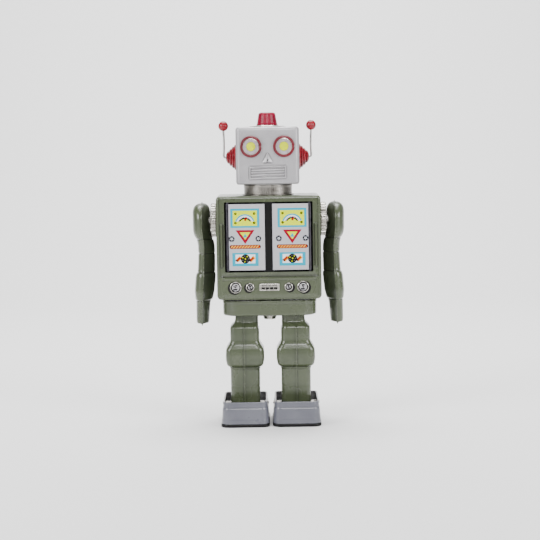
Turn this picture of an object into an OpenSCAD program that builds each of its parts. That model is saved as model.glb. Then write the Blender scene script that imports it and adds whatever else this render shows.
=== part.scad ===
// Tin wind-up walking robot with a turning body and opening chest doors.
// It stands on Z = 0, faces -Y, and its own left side is +X.
// The upright axis that the body turns on is X = 0, Y = 0.

/* [Sheet and clearances] */
// Thickness of the tin sheet
tin = 0.6; // [0.4:0.1:0.8]
// Gap between faces that move past each other
gap = 0.3; // [0.3:0.05:0.5]
// Radial clearance of a shaft in its bearing
fit = 0.05; // [0.02:0.01:0.1]
// How far a seam flange stands out of the shell beside it
flange = 0.9; // [0.5:0.1:1.2]

/* [Feet] */
// Width of one sole
foot_w = 36; // [30:1:43]
// Leg centre to the toe
foot_toe = 34; // [28:1:40]
// Leg centre to the heel
foot_heel = 20; // [18:1:26]
// Height of the shoe's upper edge
foot_h = 18.5; // [17:0.5:22]
// Height of the sole's rim
sole_h = 2.5; // [2:0.1:3]
// Space between the two soles
feet_gap = 2; // [1:0.5:6]
// Radius of a walking roller
roller_r = 3.5; // [3:0.1:4]

/* [Legs] */
// Height of the knee's middle above the floor
knee_z = 50.5; // [42:0.5:56]
// Height of the ankle pin above the floor
ankle_z = 13; // [12:0.5:15]
// Width of the shin
shin_w = 22; // [19:0.5:24]
// Width of the knee
knee_w = 28.8; // [24:0.2:31]
// Width of the thigh
thigh_w = 21.6; // [19:0.5:24]
// Width of the narrow top of the leg
hip_w = 13.6; // [12:0.2:16]
// Depth of the shin
shin_d = 20; // [17:0.5:23]
// Depth of the knee
knee_d = 25; // [21:0.5:28]
// Length of a leg from the floor to the waist pan
leg_h = 80; // [74:0.5:96]
// Angle that a leg swings each way
leg_swing = 8; // [4:1:9]

/* [Waist] */
// Width of the waist pan
waist_w = 70; // [68:1:80]
// Depth of the waist pan
waist_d = 39; // [36:1:44]
// Height of the waist pan
waist_h = 11.4; // [11:0.2:15]
// Dark gap that the body turns over
turn_gap = 1.2; // [1:0.1:2]

/* [Torso] */
// Width of the torso
torso_w = 77; // [75:0.2:93]
// Depth of the torso
torso_d = 45; // [43:1:54]
// Height of the torso
torso_h = 76.4; // [75:0.2:92]
// Width of the chest opening
chest_w = 64.8; // [62:0.2:68]
// Height of the chest opening
chest_h = 51.5; // [46:0.5:56]
// Depth of the recess behind the doors
chest_d = 13.4; // [12:0.2:14]
// Width of one door, from its free edge to its hinge pin
door_w = 27.2; // [25:0.2:28]
// Radius of a hinge pin
hinge_r = 0.8; // [0.6:0.1:1]
// Height of the neck collar that shows
neck_h = 8.1; // [6:0.1:12]
// Radius of the neck collar
neck_r = 18; // [15:0.5:20]

/* [Head] */
// Width of the head
head_w = 46.6; // [42:0.2:56]
// Depth of the head
head_d = 38; // [37:0.5:45]
// Height of the head
head_h = 42.2; // [40:0.2:50]
// Outer radius of an eye ring
eye_r = 8; // [6:0.1:8.5]
// Distance of an eye from the middle of the face
eye_x = 12.1; // [10:0.1:13]
// Radius of an ear cone at the head
ear_r = 9.9; // [8:0.1:11]
// How far an ear cone stands out
ear_l = 7.5; // [6:0.5:9]
// Radius of an antenna ball
ball_r = 3.75; // [3:0.25:4.5]
// Height of the red cap
cap_h = 9.5; // [8:0.5:12]
// Radius of the red cap at its foot
cap_r = 7.8; // [6:0.1:9.4]

/* [Arms] */
// Length of an arm from the shoulder pivot to the tip of the hand
arm_len = 78.5; // [66:0.5:79]
// Radius of the round shoulder
shoulder_r = 13; // [11:0.5:14]
// Thickness of an arm outside its seam
arm_out = 7.1; // [5.5:0.1:8]
// Thickness of an arm inside its seam
arm_in = 6.1; // [5.6:0.1:8]
// Thickness of the ribbed shoulder disc
disc_t = 4.5; // [3:0.1:6]
// Radius of the ribbed shoulder disc
disc_r = 12.5; // [10:0.5:13]

/* [Clockwork] */
// Space between the two motor plates
motor_gap = 10.4; // [10:0.1:11]
// Radius of the winding arbor
arbor_r = 1.8; // [1.5:0.1:2.2]
// Radius of the hip axle and of the drive shaft
axle_r = 1.5; // [1.2:0.1:1.8]
// Throw of the walking cam
cam_throw = 1.5; // [1:0.1:1.8]
// Span of the winding key's two wings
key_span = 26; // [22:0.5:30]
// Distance that the gun carriage slides
gun_travel = 10; // [6:0.5:10]

/* [Hidden] */
$fn = 64;
eps = 0.01;

// Places that follow from the sizes above
leg_x = (foot_w + feet_gap) / 2;
waist_z = leg_h + 0.6;
hip_z = waist_z + 3.4;
torso_z = waist_z + waist_h + turn_gap;
torso_top = torso_z + torso_h;
head_z = torso_top + neck_h;
head_top = head_z + head_h;
torso_front_y = -torso_d / 2;
torso_back_y = torso_d / 2;

// Radii of the pressed corners
waist_corner = 13;
torso_corner = 3;
foot_corner = 6;
head_corner = 3.5;

chest_top = torso_top - 4.6;
chest_z = chest_top - chest_h;
chest_back_y = torso_front_y + tin + chest_d;
hinge_out = hinge_r + fit + 0.45;
door_t = 0.8;
hinge_y = torso_front_y + 0.7 + hinge_out;
door_gap = 1.4;
hinge_x = chest_w / 2 - 2.2;

shoulder_z = torso_top - 18.6;
stud_r = 3;
arm_x = torso_w / 2 + disc_t + gap + arm_in;

eye_z = head_top - 14.4;
ear_z = head_top - 22.4;
eye_t = 1.8;
wire_r = 0.75;
ear_tip_r = 3.4;
wire_x = head_w / 2 + ear_l + 1.8;
ball_z = head_top + 0.9;

// Clockwork between its plates. Every arbor lies along Y.
plate_t = 0.8;
module_1 = 0.8;
module_2 = 0.7;
great_n = 36;
pinion_n = 9;
second_n = 32;
gov_n = 8;
bevel_n = 8;
crown_n = 16;
mesh_1 = module_1 * (great_n + pinion_n) / 2;
mesh_2 = module_2 * (second_n + gov_n) / 2;
second_x = 0;
second_z = torso_z + 18.8;
key_x = -12;
key_z = second_z + sqrt(mesh_1 * mesh_1 - key_x * key_x);
gov_angle = 30;
gov_x = second_x + mesh_2 * cos(gov_angle);
gov_z = second_z + mesh_2 * sin(gov_angle);
key_y = torso_back_y + 1.1;
key_wing_r = 5.2;
wheel_t = 1.2;

// Crown wheel that the bevel pinion turns
bevel_r = module_1 * bevel_n / 2;
crown_r = module_1 * crown_n / 2;
crown_tooth = 0.6;
crown_rim = 1.2;
motor_y = crown_r + crown_rim + 0.4;
rear_y = motor_y + plate_t + motor_gap;
crown_h = 1.7;
crown_z = second_z - bevel_r - 1.5;

// Post that the torso turns on
post_r = 6;
base_t = 1.2;
post_z = waist_z + waist_h - 2;
cam_h = 2.8;
cam_z = post_z - 0.5 - cam_h;
cam_r = axle_r + cam_throw + 0.3;

gun_z = torso_z + 46.8;
gun_r = 2;
gun_x = [9, 19];
rail_x = 24;
rail_r = 1;
lever_x = 24;
lever_z = torso_z + 24.8;

// ---- Shapes that repeat ----

// The children as drawn on the left (+X), or mirrored to the right
module on_side(side) {
    if (side > 0) children();
    else mirror([1, 0, 0]) children();
}

// Both sides at once
module both_sides() {
    children();
    mirror([1, 0, 0]) children();
}

// Rectangle with round corners, centred
module round_rect(w, d, r) {
    square([w - 2 * r, d], center = true);
    square([w, d - 2 * r], center = true);
    for (x = [-1, 1], y = [-1, 1])
        translate([x * (w / 2 - r), y * (d / 2 - r)]) circle(r);
}

// Upright block with round corners
module block(w, d, r, z0, z1) {
    translate([0, 0, z0]) linear_extrude(z1 - z0) round_rect(w, d, r);
}

// Cylinder along X from x0 to x1
module rod_x(r, x0, x1, y = 0, z = 0) {
    translate([x0, y, z]) rotate([0, 90, 0]) cylinder(r = r, h = x1 - x0);
}

// Cylinder along Y from y0 to y1
module rod_y(r, y0, y1, x = 0, z = 0) {
    translate([x, y0, z]) rotate([-90, 0, 0]) cylinder(r = r, h = y1 - y0);
}

// Cylinder along Z from z0 to z1
module rod_z(r, z0, z1, x = 0, y = 0) {
    translate([x, y, z0]) cylinder(r = r, h = z1 - z0);
}

// Flat piece in the X-Z plane, drawn as (x, z), from y0 back to y1
module facing(y0, y1) {
    translate([0, y1, 0]) rotate([90, 0, 0]) linear_extrude(y1 - y0) children();
}

// Flat piece in the Y-Z plane, drawn as (y, z), from x0 to x1
module sideways(x0, x1) {
    translate([x0, 0, 0]) rotate([90, 0, 90]) linear_extrude(x1 - x0) children();
}

// Everything on one side of the plane X = x
module beyond_x(x, keep_outer) {
    big = 200;
    translate([keep_outer ? x : x - big, -big / 2, 0]) cube([big, big, 2 * big]);
}

// Pressed-tin gear with straight-sided teeth; its first tooth points at angle
module gear(m, n, angle, bore) {
    pitch = PI * m;
    root = m * n / 2 - m;
    tip = m * n / 2 + 0.65 * m;
    difference() {
        union() {
            circle(root);
            for (i = [0:n - 1]) rotate(angle + i * 360 / n) polygon([
                [root - m / 2, -0.27 * pitch], [m * n / 2, -0.19 * pitch], [tip, -0.1 * pitch],
                [tip, 0.1 * pitch], [m * n / 2, 0.19 * pitch], [root - m / 2, 0.27 * pitch]
            ]);
        }
        circle(bore);
    }
}

// Gear drawn by its (x, z) centre and its two faces along Y
module gear_y(m, n, angle, bore, x, z, y0, y1) {
    translate([x, 0, z]) facing(y0, y1) gear(m, n, angle, bore);
}

// ---- Waist, which the rest turns and swings on ----

module waist_outline(inset) {
    round_rect(waist_w - 2 * inset, waist_d - 2 * inset, waist_corner - inset);
}

module waist_pan() {
    color("#6e7762") difference() {
        translate([0, 0, waist_z]) linear_extrude(waist_h) waist_outline(0);
        translate([0, 0, waist_z + tin]) linear_extrude(waist_h) waist_outline(tin);
        for (s = [-1, 1]) translate([s * leg_x, 0, waist_z - eps])
            linear_extrude(tin + 2 * eps) square([hip_w + 4 * gap, slot_d], center = true);
    }
}

module waist_top() {
    color("#6e7762") difference() {
        translate([0, 0, waist_z + waist_h - 2 * tin]) linear_extrude(tin) waist_outline(tin);
        rod_z(post_r, waist_z, torso_z);
    }
}

module hip_axle() {
    color("silver") rod_x(axle_r, -waist_w / 2 + tin, waist_w / 2 - tin, 0, hip_z);
}

// Post with a shoulder under the torso base and a ring that holds it down
module swivel_post() {
    color("silver") {
        difference() {
            union() {
                rod_z(post_r, post_z, torso_z + base_t + 1.6);
                rod_z(post_r + 3, waist_z + waist_h - tin, torso_z - 0.1);
            }
            rod_z(axle_r + fit, post_z - eps, torso_z + base_t + 2);
        }
        difference() {
            rod_z(post_r + 2.5, torso_z + base_t + gap, torso_z + base_t + gap + 0.8);
            rod_z(post_r, torso_z, torso_z + base_t + 2);
        }
    }
}

// Pressed boss under the pan, where the swivel post is riveted
module pivot_cap() {
    boss_r = 5.6;
    boss_h = 4.4;
    color("silver") translate([0, 0, waist_z - boss_h]) {
        cylinder(r1 = boss_r - 1.6, r2 = boss_r, h = boss_h / 2);
        translate([0, 0, boss_h / 2]) cylinder(r = boss_r, h = boss_h / 2);
    }
}

// ---- Legs: two pressed halves each, joined along the middle ----

hip_d = 16;
hip_top = waist_z + 1.4;
// The leg's top sweeps this deep in the pan's slot as it swings about the hip axle
slot_d = hip_d + 2 * (hip_z - waist_z) * tan(leg_swing) + 4 * gap;
leg_bottom = ankle_z - 3.5;
thigh_d = shin_d + 2;

// Width of the leg at each height, as (x, z)
module leg_front(inset) {
    polygon(both_ways([
        [shin_w / 2, leg_bottom - past(inset)], [shin_w / 2, knee_z - 10],
        [knee_w / 2 - 0.8, knee_z - 8], [knee_w / 2, knee_z - 3], [knee_w / 2, knee_z + 3],
        [thigh_w / 2 + 0.8, knee_z + 8], [thigh_w / 2, knee_z + 10],
        [thigh_w / 2, leg_h - 8.6], [hip_w / 2, leg_h - 5], [hip_w / 2, hip_top + past(inset)]
    ], inset));
}

// Depth of the leg at each height, as (y, z)
module leg_side(inset) {
    polygon(both_ways([
        [shin_d / 2, leg_bottom - past(inset)], [shin_d / 2, knee_z - 10],
        [knee_d / 2 - 0.8, knee_z - 8], [knee_d / 2, knee_z - 3], [knee_d / 2, knee_z + 3],
        [thigh_d / 2 + 0.8, knee_z + 8], [thigh_d / 2, knee_z + 10],
        [thigh_d / 2, leg_h - 8.6], [hip_d / 2, leg_h - 5], [hip_d / 2, hip_top + past(inset)]
    ], inset));
}

// A hollow runs this far past the open ends of its shell
function past(inset) = inset > 0 ? 1 : 0;

// One half outline and its mirror image, drawn in by inset
function both_ways(half, inset) = concat(
    [for (p = half) [p[0] - inset, p[1]]],
    [for (i = [len(half) - 1:-1:0]) [inset - half[i][0], half[i][1]]]);

module leg_solid(inset) {
    intersection() {
        translate([leg_x, 0, 0]) facing(-30, 30) leg_front(inset);
        sideways(leg_x - 30, leg_x + 30) leg_side(inset);
    }
}

// Strip of the flange where the two halves meet
module leg_flange() {
    sideways(leg_x, leg_x + tin) intersection() {
        difference() {
            leg_side(-flange);
            leg_side(tin / 2);
        }
        translate([-knee_d, foot_h + 3]) square([2 * knee_d, leg_h - foot_h - 10]);
    }
}

module leg_half(outer) {
    difference() {
        union() {
            difference() {
                intersection() {
                    leg_solid(0);
                    beyond_x(leg_x, outer);
                }
                leg_solid(tin);
            }
            if (outer) leg_flange();
        }
        rod_x(ankle_r + fit, 0, 2 * leg_x, 0, ankle_z);
    }
}

// Steel block in the top of the leg, with the hip bearing and the cam's lug
module hip_bracket(lug_y) {
    w = hip_w - 2 * tin;
    difference() {
        union() {
            translate([leg_x - w / 2, -5, leg_h - 12]) cube([w, 10, 20]);
            translate([4, lug_y > 0 ? lug_y : lug_y - 1.5, cam_z])
                cube([leg_x - 4, 1.5, cam_h]);
            translate([leg_x - w / 2, lug_y > 0 ? 4 : lug_y - 1.5, cam_z])
                cube([2, abs(lug_y) - 2.5, cam_h]);
        }
        rod_x(axle_r + fit, 0, 2 * leg_x, 0, hip_z);
    }
}

lug_y = cam_r + cam_throw + 1.2;
ankle_r = 1.2;

module left_leg_outer() { color("#6e7762") leg_half(true); }
module left_leg_inner() { color("#6e7762") leg_half(false); }
module left_hip_bracket() { color("silver") hip_bracket(-lug_y); }
module right_leg_outer() { color("#6e7762") on_side(-1) leg_half(true); }
module right_leg_inner() { color("#6e7762") on_side(-1) leg_half(false); }
module right_hip_bracket() { color("silver") on_side(-1) hip_bracket(lug_y); }

// ---- Feet: an open tin shoe on a black sole, with two rollers ----

foot_len = foot_toe + foot_heel;
foot_mid = (foot_heel - foot_toe) / 2;
roller_w = 16;
sole_rim = 1.2;
sole_edge = 0.5;
roller_y = [-foot_toe + 10, foot_heel - 6];
roller_gap = 1;

module foot_block(inset, r, z0, z1) {
    translate([leg_x, foot_mid, 0])
        block(foot_w - 2 * inset, foot_len - 2 * inset, r - inset, z0, z1);
}

module foot_shell() {
    difference() {
        foot_block(sole_edge, foot_corner, sole_h, foot_h);
        foot_block(sole_edge + tin, foot_corner, sole_h - 1, foot_h + 1);
        rod_x(ankle_r, 0, 2 * leg_x, 0, ankle_z);
    }
}

module sole() {
    difference() {
        foot_block(0, foot_corner, 0, sole_h);
        foot_block(sole_rim, foot_corner, -1, sole_h - 0.8);
        for (y = roller_y) translate([leg_x - roller_w / 2 - roller_gap, y - roller_r - roller_gap, 0])
            cube([roller_w + 2 * roller_gap, 2 * (roller_r + roller_gap), sole_h + 1]);
    }
}

// Ankle pin, and an axle for each roller riveted between two lugs on the sole
module foot_pins() {
    w = foot_w - 1;
    rod_x(ankle_r, leg_x - w / 2, leg_x + w / 2, 0, ankle_z);
    for (y = roller_y) {
        rod_x(1, leg_x - roller_w / 2 - 2, leg_x + roller_w / 2 + 2, y, roller_r);
        for (s = [-1, 1]) translate([leg_x + s * (roller_w / 2 + 2.4) - 0.4, y - 2, sole_h])
            cube([0.8, 4, roller_r - sole_h + 2]);
    }
}

module roller(i) {
    difference() {
        rod_x(roller_r, leg_x - roller_w / 2, leg_x + roller_w / 2, roller_y[i], roller_r);
        rod_x(1 + fit, 0, 2 * leg_x, roller_y[i], roller_r);
    }
}

module left_foot_shell() { color("#85868c") foot_shell(); }
module left_sole() { color("#403e43") sole(); }
module left_foot_pins() { color("silver") foot_pins(); }
module left_front_roller() { color("#303030") roller(0); }
module left_rear_roller() { color("#303030") roller(1); }
module right_foot_shell() { color("#85868c") on_side(-1) foot_shell(); }
module right_sole() { color("#403e43") on_side(-1) sole(); }
module right_foot_pins() { color("silver") on_side(-1) foot_pins(); }
module right_front_roller() { color("#303030") on_side(-1) roller(0); }
module right_rear_roller() { color("#303030") on_side(-1) roller(1); }

// ---- Torso: front and back tins over a base, with the chest recess ----

// Front of the torso, as (x, z)
module torso_face(inset) {
    translate([0, torso_z + torso_h / 2]) round_rect(torso_w - 2 * inset, torso_h - 2 * inset, torso_corner - inset);
}

module torso_tin(y0, y1) {
    difference() {
        facing(y0, y1) torso_face(0);
        facing(torso_front_y + tin, torso_back_y - tin) torso_face(tin);
        // Open underneath, where the base closes it
        translate([-torso_w / 2 + tin + 3, torso_front_y + tin, torso_z - 1])
            cube([torso_w - 2 * tin - 6, torso_d - 2 * tin, 1 + 2 * tin]);
        for (s = [-1, 1]) rod_x(stud_r, s * torso_w / 2 - 3, s * torso_w / 2 + 3, 0, shoulder_z);
        rod_z(neck_r - tin - 2, torso_top - 2 * tin, torso_top + 1);
    }
}

seam_y = 4;

module torso_front() {
    color("#6e7762") difference() {
        torso_tin(torso_front_y, seam_y);
        facing(torso_front_y - 1, torso_front_y + 2) translate([-chest_w / 2, chest_z])
            square([chest_w, chest_h]);
    }
    // Pressed ridges beside and below the doors
    color("#6e7762") facing(torso_front_y - ridge_t, torso_front_y) {
        for (s = [-1, 1]) translate([s * (chest_w / 2 + 2.9), chest_z + chest_h / 2 - 8])
            round_rect(1.2, 34, 0.55);
        translate([0, chest_z - 4.4]) round_rect(chest_w + 4, 1, 0.45);
    }
}

ridge_t = 0.5;
lever_slot = [9, 5];

module torso_back() {
    color("#6e7762") difference() {
        torso_tin(seam_y, torso_back_y);
        rod_y(3.4, torso_back_y - 2, torso_back_y + 1, key_x, key_z);
        translate([lever_x - lever_slot[0] / 2, torso_back_y - 2, lever_z + 10 - lever_slot[1] / 2])
            cube([lever_slot[0], 4, lever_slot[1]]);
        for (p = screw_places) rod_y(1, torso_back_y - 2, torso_back_y + 1, p[0], p[1]);
    }
}

screw_places = [for (x = [-1, 1], z = [9, torso_h - 9]) [x * (torso_w / 2 - 7), torso_z + z]];

// Self-tapping screws: a domed head outside, a shank inside
module back_screws() {
    color("silver") for (p = screw_places) {
        rod_y(1, torso_back_y - 4, torso_back_y, p[0], p[1]);
        translate([p[0], torso_back_y, p[1]]) rotate([-90, 0, 0]) difference() {
            cylinder(r1 = 2, r2 = 1.5, h = 1);
            translate([-2, -0.25, 0.6]) cube([4, 0.5, 1]);
        }
    }
}

module torso_base() {
    color("#6e7762") difference() {
        translate([0, 0, torso_z]) linear_extrude(base_t)
            square([torso_w - 2 * tin - 6, torso_d - 2 * tin], center = true);
        rod_z(post_r + fit, torso_z - 1, torso_z + base_t + 1);
    }
}

// Black tin box behind the doors. Its open mouth lies on the back of the front tin.
module chest_recess() {
    y0 = torso_front_y + tin;
    color("#26242a") difference() {
        translate([-chest_w / 2 - tin, y0, chest_z - tin])
            cube([chest_w + 2 * tin, chest_d, chest_h + 2 * tin]);
        translate([-chest_w / 2, y0 - 1, chest_z]) cube([chest_w, chest_d + 1 - tin, chest_h]);
        for (s = [-1, 1], x = gun_x) rod_y(gun_r + 2 * gap, chest_back_y - 2, chest_back_y + 1, s * x, gun_z);
    }
}

// T-shaped post that the two doors close against
module centre_post() {
    y0 = hinge_y - hinge_out + door_t + 0.2;
    color("#26242a") translate([0, 0, chest_z]) {
        translate([-4.5, y0, 0]) cube([9, 0.6, chest_h]);
        translate([-0.4, y0 + 0.6, 0]) cube([0.8, chest_back_y - tin - y0 - 0.6, chest_h]);
    }
}

module door_hinge_pins() {
    color("#55565c") both_sides() rod_z(hinge_r, chest_z, chest_top, hinge_x, hinge_y);
}

// A door panel curled round its hinge pin; it opens towards -Y
module door() {
    z0 = chest_z + door_gap;
    h = chest_h - 2 * door_gap;
    difference() {
        union() {
            rod_z(hinge_out, z0, z0 + h, hinge_x, hinge_y);
            translate([hinge_x - door_w, hinge_y - hinge_out, z0]) cube([door_w, door_t, h]);
        }
        rod_z(hinge_r + fit, z0 - 1, z0 + h + 1, hinge_x, hinge_y);
    }
}

module left_door() { color("#c1c0c2") door(); }
module right_door() { color("#c1c0c2") on_side(-1) door(); }

dial_z = torso_z + 9.2;
dial_t = 1.2;

// Silver caps with a raised rim
module dash_dials() {
    color("silver") for (s = [-1, 1], d = [[24.8, 4.4], [14.2, 3.2]]) difference() {
        rod_y(d[1], torso_front_y - dial_t, torso_front_y, s * d[0], dial_z);
        rod_y(d[1] - 0.7, torso_front_y - dial_t - 1, torso_front_y - dial_t + 0.4, s * d[0], dial_z);
    }
}

module meter_plate() {
    color("silver") translate([-7.5, torso_front_y - 1, dial_z - 2.6]) difference() {
        cube([15, 1, 5.2]);
        for (i = [0:3]) translate([1.9 + i * 3, -0.5, 1]) cube([2, 1, 0.9]);
    }
}

module neck_collar() {
    color("silver") difference() {
        union() {
            rod_z(neck_r, torso_top, head_z - 0.5);
            rod_z(neck_r + 1.2, torso_top, torso_top + 0.6);
        }
        rod_z(neck_r - tin, torso_top - 1, head_z + 1);
    }
}

// Disc with a milled edge between the torso and an arm, bored for the stud
module shoulder_discs() {
    ribs = 28;
    color("silver") both_sides() translate([torso_w / 2, 0, 0]) difference() {
        union() {
            rod_x(disc_r - 0.8, 0, disc_t, 0, shoulder_z);
            sideways(0.4, disc_t - 0.4) translate([0, shoulder_z]) for (i = [0:ribs - 1])
                rotate(i * 360 / ribs) translate([disc_r - 1.2, -0.55]) square([1.2, 1.1]);
        }
        rod_x(stud_r, -1, disc_t + 1, 0, shoulder_z);
    }
}

// Rivets that the arms turn on, with a head inside each end
module shoulder_studs() {
    arm_face = torso_w / 2 + disc_t + gap;
    color("silver") both_sides() {
        rod_x(stud_r, torso_w / 2 - tin, arm_face + tin + gap, 0, shoulder_z);
        rod_x(stud_r + 1.5, arm_face + tin + gap, arm_face + tin + gap + 1, 0, shoulder_z);
        rod_x(stud_r + 1.5, torso_w / 2 - tin - 1, torso_w / 2 - tin, 0, shoulder_z);
    }
}

// ---- Clockwork: two plates, four pillars and the train between them ----

module motor_plate(y, holes) {
    color("silver") difference() {
        translate([-29, y, torso_z + 5]) cube([58, plate_t, 48]);
        for (h = holes) rod_y(h[2], y - 1, y + plate_t + 1, h[0], h[1]);
    }
}

arbor_holes = [
    [key_x, key_z, arbor_r + fit], [second_x, second_z, 1.2 + fit], [gov_x, gov_z, 0.8 + fit]
];
pillar_places = [for (x = [-25, 25], z = [8.5, 49.5]) [x, torso_z + z]];

module front_motor_plate() { motor_plate(motor_y, arbor_holes); }
module rear_motor_plate() {
    motor_plate(rear_y, concat(arbor_holes, [[lever_x, lever_z, 1.2]]));
}

// Spacers between the plates, two feet to the base and the rails of the gun carriage
module motor_pillars() {
    color("silver") {
        for (p = pillar_places) rod_y(1.6, motor_y + plate_t, rear_y, p[0], p[1]);
        both_sides() {
            translate([15, motor_y + plate_t, torso_z + base_t]) cube([8, motor_gap, 3.8]);
            rod_y(rail_r, chest_back_y, motor_y, rail_x, gun_z);
        }
    }
}

// Flat spiral around the winding arbor, drawn as one long strip
module mainspring() {
    turns = 7;
    r0 = arbor_r + 2;
    r1 = mesh_1 - 5;
    strip = 0.35;
    steps = 24 * turns;
    function arm(i, off) = let (a = i * 15, r = r0 + (r1 - r0) * i / steps + off) [r * cos(a), r * sin(a)];
    color("#555555") translate([key_x, 0, key_z]) facing(motor_y + plate_t + 3.4, motor_y + plate_t + 8)
        polygon(concat([for (i = [0:steps]) arm(i, 0)], [for (i = [steps:-1:0]) arm(i, strip)]));
}

mesh_angle = atan2(second_z - key_z, second_x - key_x);
train_y = motor_y + plate_t;

// Key arbor with the great wheel, which turns once for each turn of the key
module great_wheel() {
    color("goldenrod") {
        gear_y(module_1, great_n, mesh_angle, arbor_r, key_x, key_z, train_y + 1, train_y + 1 + wheel_t);
        difference() {
            rod_y(arbor_r + 1, train_y + 1 + wheel_t, rear_y - 0.6, key_x, key_z);
            rod_y(arbor_r, train_y, rear_y, key_x, key_z);
        }
    }
    color("silver") rod_y(arbor_r, motor_y, key_y + 2, key_x, key_z);
}

module winding_key() {
    wing_x = key_span / 2 - key_wing_r;
    y0 = torso_back_y + 0.8;
    color("silver") translate([key_x, 0, key_z]) difference() {
        union() {
            rod_y(3, y0, key_y + 4);
            translate([0, 0, -0.8]) linear_extrude(1.6) {
                for (s = [-1, 1]) translate([s * wing_x, key_y + key_wing_r]) circle(key_wing_r);
                translate([-wing_x, key_y + 1.6]) square([2 * wing_x, 2 * key_wing_r - 4.4]);
            }
        }
        rod_y(arbor_r, y0 - 1, key_y + 2);
    }
}

module second_arbor() {
    color("goldenrod") {
        gear_y(module_1, pinion_n, mesh_angle + 180 + 180 / pinion_n, 0.5, second_x, second_z,
            train_y + 0.6, train_y + 1.6 + wheel_t);
        gear_y(module_2, second_n, gov_angle, 0.5, second_x, second_z,
            rear_y - 0.7 - wheel_t, rear_y - 0.7);
        translate([second_x, 0, second_z]) facing(crown_r - 0.8, crown_r + 0.8) bevel_outline();
        rod_y(1.2, crown_r - 1, rear_y + plate_t, second_x, second_z);
    }
}

// Bevel pinion: a thin-toothed wheel that reaches down into the crown wheel
module bevel_outline() {
    circle(bevel_r - 1);
    for (i = [0:bevel_n - 1]) rotate(i * 360 / bevel_n)
        translate([0, -crown_tooth / 2]) square([bevel_r + 0.6, crown_tooth]);
}

// Air-brake governor on its own fast arbor
module governor() {
    color("goldenrod") {
        gear_y(module_2, gov_n, gov_angle + 180 + 180 / gov_n, 0.4, gov_x, gov_z,
            rear_y - 1 - wheel_t, rear_y - 0.4);
        rod_y(0.8, motor_y, rear_y + plate_t, gov_x, gov_z);
        rod_y(5, train_y + 2.4, train_y + 4.4, gov_x, gov_z);
    }
}

// Upright shaft: crown wheel above, walking cam below
module drive_shaft() {
    color("goldenrod") {
        rod_z(axle_r, cam_z, crown_z + 0.6);
        rod_z(crown_r + crown_rim, crown_z - 1.5, crown_z);
        for (i = [0:crown_n - 1]) rotate(90 + (i + 0.5) * 360 / crown_n)
            translate([crown_r - 1, -crown_tooth / 2, crown_z - 0.5]) cube([1.9, crown_tooth, crown_h + 0.5]);
        rod_z(cam_r, cam_z, cam_z + cam_h, cam_throw, 0);
    }
}

// Start and stop lever, pivoted on the rear plate, with a tab through the back
module stop_lever() {
    y0 = rear_y + plate_t + 0.2;
    color("silver") {
        rod_y(1.15, rear_y + 0.1, y0, lever_x, lever_z);
        facing(y0, y0 + 0.8) translate([lever_x, lever_z]) {
            circle(3);
            translate([-1.5, 0]) square([3, 10.5]);
        }
        translate([lever_x - 1.5, y0 + 0.8, lever_z + 9.2]) cube([3, torso_back_y + 4.5 - y0 - 0.8, 1.3]);
    }
}

module gun_carriage() {
    y0 = chest_back_y + gun_travel + 1;
    color("silver") difference() {
        union() {
            translate([-rail_x - 3, y0, gun_z - 4]) cube([2 * rail_x + 6, 1.5, 8]);
            for (s = [-1, 1], x = gun_x) rod_y(gun_r, hinge_y + 2.2, y0, s * x, gun_z);
        }
        both_sides() rod_y(rail_r + fit, y0 - 1, y0 + 3, rail_x, gun_z);
        for (s = [-1, 1], x = gun_x) rod_y(1, hinge_y, hinge_y + 6, s * x, gun_z);
    }
}

// ---- Head ----

module head_block(inset, z0, z1) {
    block(head_w - 2 * inset, head_d - 2 * inset, head_corner - inset, z0, z1);
}

head_front_y = -head_d / 2;

// Face and sides in one tin, with a raised nose and mouth grille
module head_shell() {
    color("#b3b7b8") {
        difference() {
            head_block(0, head_z, head_top);
            head_block(tin, head_z - 1, head_top - tin);
            for (s = [-1, 1]) {
                rod_y(eye_r - 2.5, head_front_y - 1, head_front_y + 2, s * eye_x, eye_z);
                rod_x(2, s * head_w / 2 - 2, s * head_w / 2 + 2, 0, ear_z);
            }
        }
        facing(head_front_y - 0.8, head_front_y) translate([0, eye_z]) difference() {
            polygon([[-3.6, -11.4], [0, -4], [3.6, -11.4], [0, -10.2]]);
            translate([0, -8.9]) circle(0.6);
        }
        facing(head_front_y - 0.7, head_front_y) translate([0, head_z + 8.4]) difference() {
            round_rect(27.4, 9.6, 0.8);
            for (i = [-1, 1]) translate([0, i * 2]) square([24, 1.6], center = true);
        }
    }
}

// Plate that closes the head, with the spigot that turns in the neck collar
module head_base() {
    color("#8a8c8d") {
        translate([0, 0, head_z + 0.2]) linear_extrude(0.8)
            round_rect(head_w - 2 * tin, head_d - 2 * tin, head_corner - tin);
        difference() {
            rod_z(neck_r - tin - fit, torso_top + 1.5, head_z + 0.2);
            rod_z(neck_r - 3 * tin, torso_top, head_z + 0.1);
        }
    }
}

module eye_rings() {
    color("#b3323f") for (s = [-1, 1]) difference() {
        rod_y(eye_r, head_front_y - eye_t, head_front_y, s * eye_x, eye_z);
        rod_y(eye_r - 1.6, head_front_y - eye_t - 1, head_front_y + 1, s * eye_x, eye_z);
    }
}

// Grey lens with a raised yellow centre
module eye_discs() {
    for (s = [-1, 1]) {
        color("#ab9f9d") rod_y(eye_r - 1.6, head_front_y - 0.6, head_front_y, s * eye_x, eye_z);
        color("#cccc30") rod_y(3.4, head_front_y - 1, head_front_y - 0.6, s * eye_x, eye_z);
    }
}

module lamp_seat() {
    color("silver") difference() {
        union() {
            rod_z(13.2, head_top, head_top + 0.5);
            rod_z(cap_r + 0.6, head_top, head_top + 1.1);
        }
        rod_z(cap_r - 2, head_top - 1, head_top + 2);
    }
}

cap_taper = 1.4;

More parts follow.
